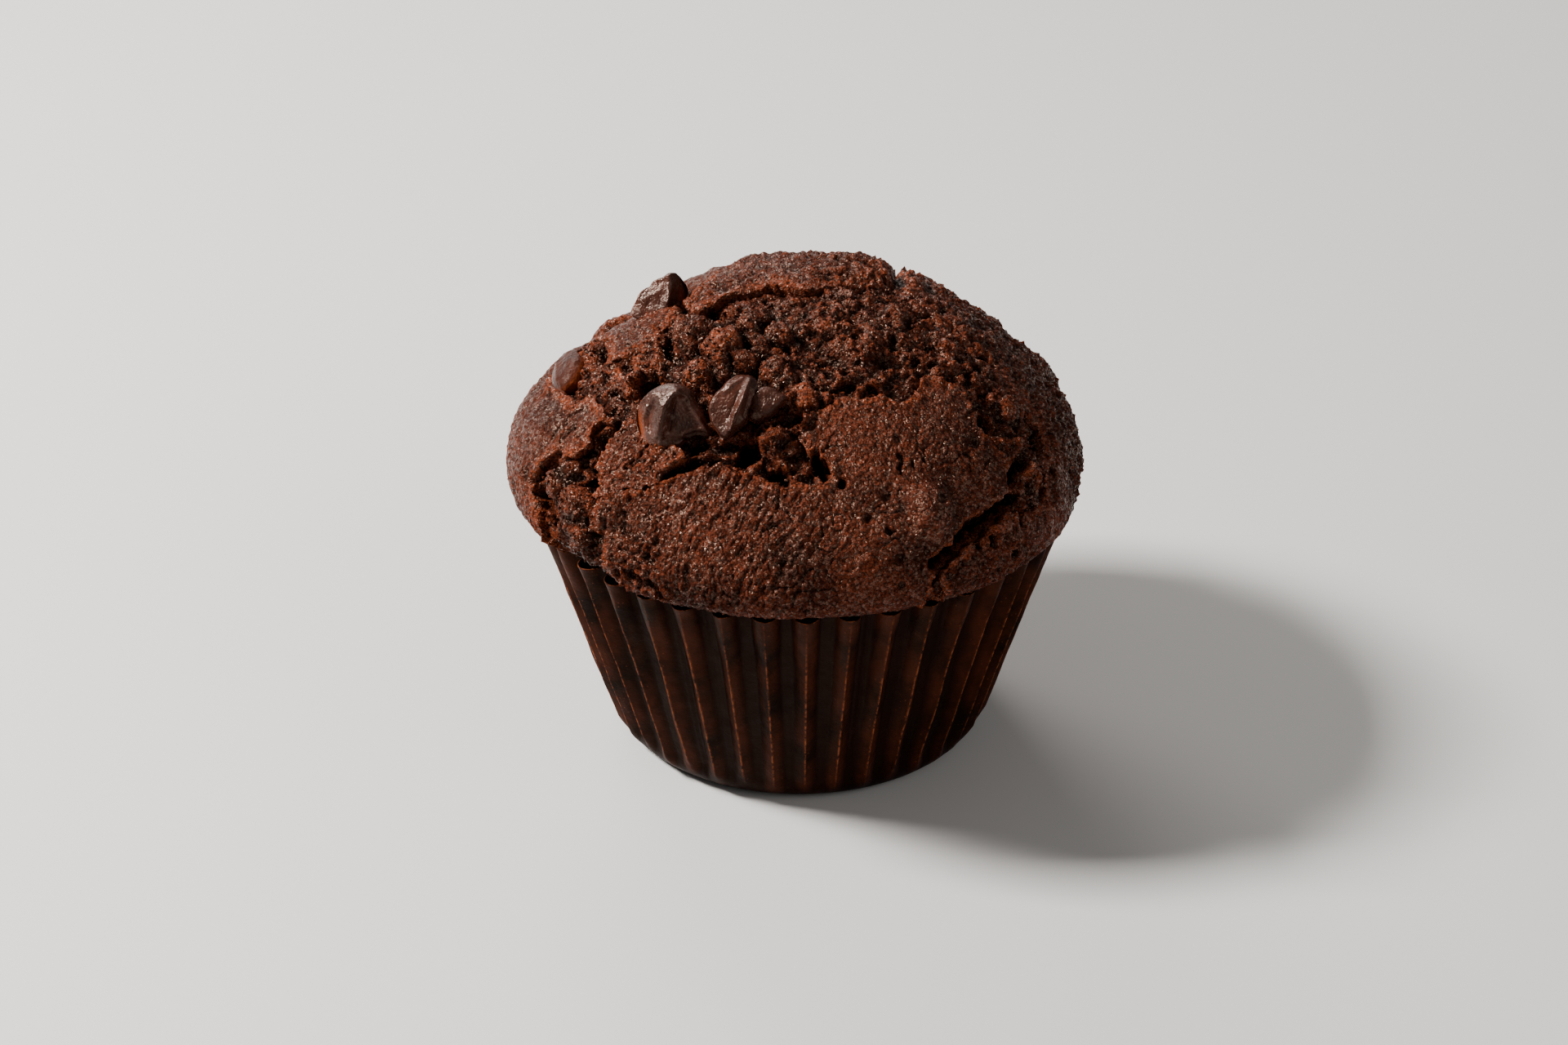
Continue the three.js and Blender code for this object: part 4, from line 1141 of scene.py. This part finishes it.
def chocolate_finish():
    """Dark chocolate that has been through the oven: satin, slightly dusty, browner on thin edges."""
    made, tree, shader = new_material("baked_dark_chocolate")
    place = node(tree, "ShaderNodeTexCoord").outputs["Object"]
    cloud = texture(tree, place, 300, 4, 0.65)
    base = blend(tree, stretch(tree, cloud, 0.36, 0.66), CHOCOLATE_DARK, CHOCOLATE_LIGHT)
    base = blend(tree, maths(tree, "MULTIPLY", field(tree, "thin"), 0.9), base, CHOCOLATE_THIN)
    tree.links.new(base, shader.inputs["Base Color"])
    rough = stretch(tree, texture(tree, place, 900, 3), 0.3, 0.7, 0.22, 0.4)
    tree.links.new(rough, shader.inputs["Roughness"])
    shine = stretch(tree, field(tree, "dull"), 0, 1, 0.45, 0.1)
    tree.links.new(shine, shader.inputs["Specular IOR Level"])
    shader.inputs["Specular Tint"].default_value = CHOCOLATE_SHEEN
    waves = bump(tree, texture(tree, place, 1100, 3), 0.00016)
    tree.links.new(bump(tree, texture(tree, place, 3600, 2), 0.0001, waves), shader.inputs["Normal"])
    return made


chocolate = chocolate_finish()

# %% The front left chip: a thick fold down its left side, a flat facet, and a tail
build_chip(
    "chip_front_left", (-16.98, -21.29), 0.3,
    outline=[(-4.3, -0.3), (-3.9, 1.6), (-3.1, 2.7), (-1.8, 3.6), (0, 4.1), (1.5, 3.9), (2.6, 3.1),
             (3.1, 1.6), (4.2, 0.1), (4.7, -1.2), (5.3, -2.6), (3.4, -2.4), (1.8, -3.0), (0.8, -4.0),
             (-1.1, -4.2), (-2.9, -3.4), (-4.0, -1.9)],
    bulge=(3.0, 2.7),
    folds=[([(0.5, 3.0), (-0.8, 1.1), (-1.4, -0.9), (-1.8, -2.4)], 0.75, 0.8),
           ([(-2.0, 1.9), (-2.7, -0.2), (-2.5, -1.8)], 0.25, -0.3),
           ([(-3.0, 1.2), (-3.5, -0.5), (-3.0, -2.1)], 0.3, 0.25),
           ([(0.6, 2.0), (0.1, 0.3), (-0.2, -1.7)], 0.2, -0.35),
           ([(0.8, 3.0), (1.9, 2.4), (2.5, 1.2), (3.3, -0.1), (3.9, -1.1), (4.5, -2.0)], 0.35, 0.45),
           ([(1.6, -2.2), (2.8, -1.7), (4.0, -1.6)], 0.3, 0.35),
           ([(-0.6, -2.9), (0.6, -2.7), (1.6, -2.9)], 0.35, -0.25)],
    facets=[(1.8, -0.2, 0.06), (3.1, 0.8, 0.1)],
    material=chocolate,
)

# %% The front middle chip: a diamond with a thick ridge from its top to its lower point
build_chip(
    "chip_front_middle", (-9.01, -22.19), 0.3,
    outline=[(2.0, 4.4), (1.1, 4.3), (0, 3.6), (-1.1, 2.5), (-2.2, 1.4), (-2.7, 0.3), (-2.6, -1.1),
             (-1.9, -2.6), (-1.1, -3.7), (-0.5, -4.0), (0.4, -3.1), (1.2, -2.5), (1.9, -1.9), (2.2, -0.3),
             (2.7, 1.3), (3.4, 2.6), (3.0, 3.8)],
    bulge=(2.8, 2.6),
    folds=[([(2.3, 3.5), (1.7, 1.9), (1.2, 0.6), (0.5, -0.8), (-0.1, -2.7)], 0.42, 0.75),
           ([(1.0, 1.8), (0.4, 0.3), (-0.2, -1.2)], 0.22, -0.25),
           ([(2.2, 1.4), (1.9, 0.2), (1.5, -1.0)], 0.25, -0.25),
           ([(-0.8, 2.0), (0.4, 3.1), (1.4, 3.7)], 0.35, 0.25)],
    facets=[(1.55, 0.28, -0.05), (3.0, -0.8, 0.05), (3.2, -0.2, -0.75)],
    material=chocolate,
)

# %% The front right chip: a low smooth dome with a point to the right
build_chip(
    "chip_front_right", (-4.19, -21.85), -0.3,
    outline=[(-2.1, 1.3), (-1.3, 1.9), (-0.3, 2.2), (0.6, 1.95), (1.4, 1.35), (2.4, 0.9), (2.2, 0.3),
             (1.3, -0.5), (0.65, -1.4), (-0.4, -2.1), (-1.8, -2.4), (-2.6, -1.6), (-2.4, -0.4),
             (-2.2, 0.5)],
    bulge=(2.2, 1.7),
    folds=[([(-1.2, 1.5), (0, 1.5), (1.7, 0.8)], 0.5, 0.25)],
    facets=[(1.5, 0.1, -0.35)],
    material=chocolate,
)

# %% The back left chip: a leaf that stands up against the skyline and leans right
build_chip(
    "chip_back_left", (-18.55, 4.84), 0.4,
    outline=[(-3.75, -2.4), (-2.9, -0.7), (-1.2, 1.1), (0.5, 2.3), (1.2, 2.85), (2.2, 2.9), (2.9, 2.15),
             (3.5, 1.3), (3.8, 0.4), (3.1, -0.7), (2.0, -1.8), (-0.2, -3.0), (-2.4, -3.2)],
    bulge=(2.2, 2.6),
    folds=[([(1.5, 2.5), (1.75, 0.9), (1.1, -0.9)], 0.5, 0.35), ([(-1.9, -0.6), (0.2, 0.6)], 0.5, 0.15)],
    facets=[(1.35, 0.3, -0.12), (3.1, -1.1, -0.1)],
    material=chocolate,
)

# %% The far left chip: an oval, sunk into the shoulder
far_left = (-33.1, 0.2)
far_normal, far_right, far_up = (v[0] for v in crown_frame(*(np.array([c]) for c in far_left))[1:])
build_chip(
    "chip_far_left", far_left, -0.9,
    outline=[(2.6 * np.cos(a), 4.6 * np.sin(a)) for a in np.linspace(-np.pi, np.pi, 16, endpoint=False)],
    bulge=(3.0, 1.5),
    folds=[([(-1.2, 2.6), (-1.0, -2.4)], 0.6, 0.2)],
    facets=[(1.4, 0.15, 0)],
    material=chocolate,
    plane=np.array([far_right, far_up, far_normal]),
    dull=1.0,
)

# %% [markdown]
# ## The paper case
#
# The cup is pressed from one round of greaseproof paper, and its side gathers into forty flutes. Cloth
# simulation could fold it, but slowly and never twice alike, and a star-shaped outline drawn upwards
# would miss how each fold opens. So the wall is a ring whose radius is a formula of angle and height. A
# fold closes to a rounded end above the foot, which is why its width is measured from an upright line
# that stops short of the floor. The paper is thin, and only its rim shows both faces, so the inner wall
# gets few rows.

# %% The fluted wall
COLUMNS_PER_FLUTE = 24
FOLD_HALF = (1.45, 1.75)  # half width of a fold's base, at the foot and at the rim
FOLD_END = 3.6  # height at which a fold starts to close, on its way down
PAPER = 0.16  # thickness of the wall
FOOT_PAPER = 0.35  # thickness of the foot


def flute_columns():
    """Angles of the columns, crowded onto the crests: h - 0.07 sin(2 pi h)."""
    h = np.arange(FLUTES * COLUMNS_PER_FLUTE) / COLUMNS_PER_FLUTE
    return (h - 0.07 * np.sin(2 * np.pi * h)) * PITCH + FLUTE_TURN


def paper_wall(angle, z):
    """Outer radius of the paper, and two fields: the line of painted highlight along each fold's crease,
    and the fold's share of its depth. At q half widths from the crest, that share is (1 - q) to the power
    0.9 on the sharp fold, and the square root of (1 - q squared) on the round lobe at the rim."""
    turn = (angle - FLUTE_TURN) / PITCH
    which = np.round(turn)
    index = np.stack([np.mod(which, FLUTES).astype(np.int64)] + 2 * [np.zeros(which.shape, np.int64)], -1)
    own = [lattice(index, 160 + k) - 0.5 for k in range(4)]
    share = np.clip(z / RIM_HEIGHT, 0, 1)
    aside = (turn - which - 0.06 * own[0] * share) * crest_radius(z) * PITCH
    below = np.minimum(z - FOLD_END - 2.0 * own[1], 0) / 2.2
    half = mix(*FOLD_HALF, share**2) * (1 + 0.16 * own[2])
    q = np.clip(np.hypot(aside, below) / half, 0, 1)
    opened = smooth((share - 0.7 - 0.1 * own[3]) / 0.28)
    fold = mix((1 - q) ** 0.9, np.sqrt(1 - q**2), opened)
    depth = flute_depth(z) * (1 + 0.14 * own[3])
    # Painted highlight: a thin line along each sharp fold's crease, where the satin paper catches the
    # light.
    crease_highlight = hump(aside, 0.09) * smooth((z - 2) / 5) * (1 - 0.8 * opened)
    return crest_radius(z) - depth * (1 - fold), crease_highlight, fold


# %% The case as one closed shell
WALL_MIDDLE = 30  # radius at which the wall's waves are read


def ring_points(radii, angles, levels):
    """Points at these radii, angles and heights, row by row."""
    return np.stack([radii * np.sin(angles), -radii * np.cos(angles), levels], -1).reshape(-1, 3)


def build_case(material):
    """Outer wall from the foot up, over the rim, and down the inner wall, with a flat foot. Slow swells,
    left by the dough behind the paper, and small waves move the outer wall and the whole rim."""
    angle = flute_columns()
    low = CORNER_RADIUS * (1 - np.cos(np.linspace(0, np.pi / 2, 16)))
    high = np.linspace(CORNER_RADIUS, RIM_HEIGHT, 40)[1:-1]
    a, z = np.meshgrid(angle, np.concatenate([low, high, [RIM_HEIGHT - 0.15, RIM_HEIGHT]]))
    radius, crease_highlight, fold = paper_wall(a, z)
    around = np.stack([WALL_MIDDLE * np.sin(a), WALL_MIDDLE * np.cos(a), z], -1)
    waves = 0.16 * noise(around, 7, 171) * smooth(z / 6) * smooth((RIM_HEIGHT + 1 - z) / 3)
    waves += 0.05 * noise(around, 1.9, 172) * smooth(z / 3)
    radius += waves
    inner_rows = np.concatenate([[RIM_HEIGHT], np.linspace(RIM_HEIGHT - 1, 4, 9), [1.4, FOOT_PAPER]])
    ai, zi = np.meshgrid(angle, inner_rows)
    inner = paper_wall(ai, zi)[0] - PAPER * np.where(zi > FOOT_PAPER, 1, 4)
    inner[0] += waves[-1]
    wavy_rim = 0.12 * noise(around[-1], 4, 173) + 0.05 * noise(around[-1], 1.3, 174)
    z[-2:] += wavy_rim - 0.1
    zi[0] += wavy_rim - 0.1

    points = np.concatenate([
        ring_points(radius[:1] - 1.5, a[:1], z[:1]), ring_points(radius, a, z), ring_points(inner, ai, zi),
        [[0, 0, 0], [0, 0, FOOT_PAPER]],
    ])
    count, rows = len(angle), 1 + len(z) + len(zi)
    faces = np.concatenate([
        grid_faces(rows, count, closed=True), fan_faces(np.arange(count)[::-1], rows * count),
        fan_faces((rows - 1) * count + np.arange(count), rows * count + 1),
    ])
    case = make_object("fluted_paper_case", points, faces, material)
    # The rim's edge gets the painted highlight too.
    crease_highlight[-1] = 1
    spare = np.zeros(len(points) - count - radius.size)
    for name, values in (("crease_highlight", crease_highlight), ("fold", fold)):
        set_attribute(case, name, np.concatenate([np.zeros(count), values.ravel(), spare]))
    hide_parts("paper_case")


# %% [markdown]
# ## The paper's finish
#
# Greaseproof paper is dyed through and slightly waxy. Fat from the dough darkens it in clouds. The valleys
# between the folds are painted darker as shade, and a copper line along each fold and round the rim is a
# painted highlight, where the satin paper catches the light. A painted image could hold those lines, but
# the field along each fold stays sharp at any distance, and noise breaks it up.

# %% The paper's finish
PAPER_DARK = colour(17, 7, 4)
PAPER_BROWN = colour(58, 26, 14)
# Copper of the painted highlight along the folds and rim, also used for small specks on the crests.
PAPER_COPPER = colour(156, 84, 52)
PAPER_SHEEN = (1.0, 0.5, 0.3, 1.0)


def paper_finish():
    """Dyed greaseproof paper: satin and a little cloudy, with painted shade in the valleys and a painted
    copper highlight along the folds and the rim.
    """
    made, tree, shader = new_material("brown_greaseproof_paper")
    place = node(tree, "ShaderNodeTexCoord").outputs["Object"]
    fold, crease_highlight = field(tree, "fold"), field(tree, "crease_highlight")
    cloud = texture(tree, place, 160, 4, 0.6)
    base = blend(tree, stretch(tree, cloud, 0.35, 0.65), PAPER_DARK, PAPER_BROWN)
    # Painted shade: the valleys between the folds are darkened.
    base = blend(tree, stretch(tree, fold, 0, 0.6, 0.9, 0), base, PAPER_DARK)
    nicks = stretch(tree, texture(tree, place, 1500, 4, 0.7), 0.42, 0.6)
    # Painted highlight: a copper line along each fold and the rim, broken up by noise.
    highlight_line = maths(tree, "MULTIPLY", crease_highlight, nicks)
    base = blend(tree, maths(tree, "MULTIPLY", highlight_line, 0.8), base, PAPER_COPPER)
    dots, own = grains(tree, place, 1800.0)
    specks = maths(tree, "MULTIPLY", stretch(tree, dots, 0.25, 0.1), stretch(tree, own, 0.8, 0.95, 0, 0.3))
    base = blend(tree, maths(tree, "MULTIPLY", specks, fold), base, PAPER_COPPER)
    tree.links.new(base, shader.inputs["Base Color"])
    rough = stretch(tree, texture(tree, place, 500, 3), 0.3, 0.7, 0.42, 0.58)
    tree.links.new(rough, shader.inputs["Roughness"])
    shader.inputs["Specular IOR Level"].default_value = 0.05
    shader.inputs["Specular Tint"].default_value = PAPER_SHEEN
    wrinkles = bump(tree, texture(tree, place, 700, 4, 0.6), 0.0001)
    fibres = bump(tree, texture(tree, place, 3200, 3, 0.6), 0.00005, wrinkles)
    tree.links.new(fibres, shader.inputs["Normal"])
    return made


build_case(paper_finish())

# %% [markdown]
# ## Floor, light and camera
#
# A pale floor and soft lamps show the shape plainly. The key lamp hangs high on the left, so the crumb's
# nodules glint and the right side falls into shade. A weak lamp behind and one on the right keep those
# sides from going black. A sky image would light it more evenly, and the relief would look flat. The
# camera looks down by thirty degrees through a long lens.

# %% The stage
def stage_floor():
    """A plain pale floor, much larger than the view."""
    made, _, shader = new_material("pale_floor")
    shader.inputs["Base Color"].default_value = (0.62, 0.61, 0.6, 1)
    shader.inputs["Roughness"].default_value = 0.75
    mesh = bpy.data.meshes.new("floor")
    half = 2.5
    corners = [(-half, -half, 0), (half, -half, 0), (half, half, 0), (-half, half, 0)]
    mesh.from_pydata(corners, [], [(0, 1, 2, 3)])
    mesh.materials.append(made)
    floor = bpy.data.objects.new("floor", mesh)
    bpy.context.scene.collection.objects.link(floor)


# %% The lamps
MUFFIN_MIDDLE = np.array([0, 0, 0.035])
WARM_WHITE = (1, 0.96, 0.91)
SOFT_WHITE = (1, 0.97, 0.94)


def lamp(name, place, size, power, tint):
    """A square soft lamp that looks at the muffin's middle. Place and size are in m, power in W."""
    light = bpy.data.lights.new(name, "AREA")
    light.size = size
    light.energy = power
    light.color = tint
    made = bpy.data.objects.new(name, light)
    made.location = place
    aim = MUFFIN_MIDDLE - np.array(place)
    yaw = np.arctan2(aim[1], aim[0]) - np.pi / 2
    tilt = np.arccos(-aim[2] / np.linalg.norm(aim))
    made.rotation_euler = (tilt, 0, yaw)
    bpy.context.scene.collection.objects.link(made)


stage_floor()
lamp("key", (-0.5, 0.02, 0.52), 0.15, 14.5, WARM_WHITE)
lamp("back left", (-0.2, 0.55, 0.4), 0.3, 2.3, WARM_WHITE)
lamp("right fill", (0.6, -0.4, 0.4), 0.5, 1.6, SOFT_WHITE)

# %% A faint even light from all round
world = bpy.data.worlds.new("studio")
bpy.context.scene.world = world
world.use_nodes = True
background = world.node_tree.nodes["Background"]
background.inputs["Color"].default_value = (1, 0.98, 0.96, 1)
background.inputs["Strength"].default_value = 0.17

# %% The camera
CAMERA_TILT = np.radians(30)
CAMERA_AWAY = 0.6  # metres from the place that it looks at
CAMERA_TARGET = np.array([-0.00205, 0, 0.02777])
camera_data = bpy.data.cameras.new("camera")
camera_data.lens = 105.7
camera_data.sensor_width = 36
camera = bpy.data.objects.new("camera", camera_data)
camera.location = CAMERA_TARGET + CAMERA_AWAY * np.array([0, -np.cos(CAMERA_TILT), np.sin(CAMERA_TILT)])
camera.rotation_euler = (np.pi / 2 - CAMERA_TILT, 0, 0)
bpy.context.scene.collection.objects.link(camera)
bpy.context.scene.camera = camera

# %% [markdown]
# ## The last update
#
# The view layer is updated once more, so that every object's place is worked out.

# %% Update the view layer
bpy.context.view_layer.update()
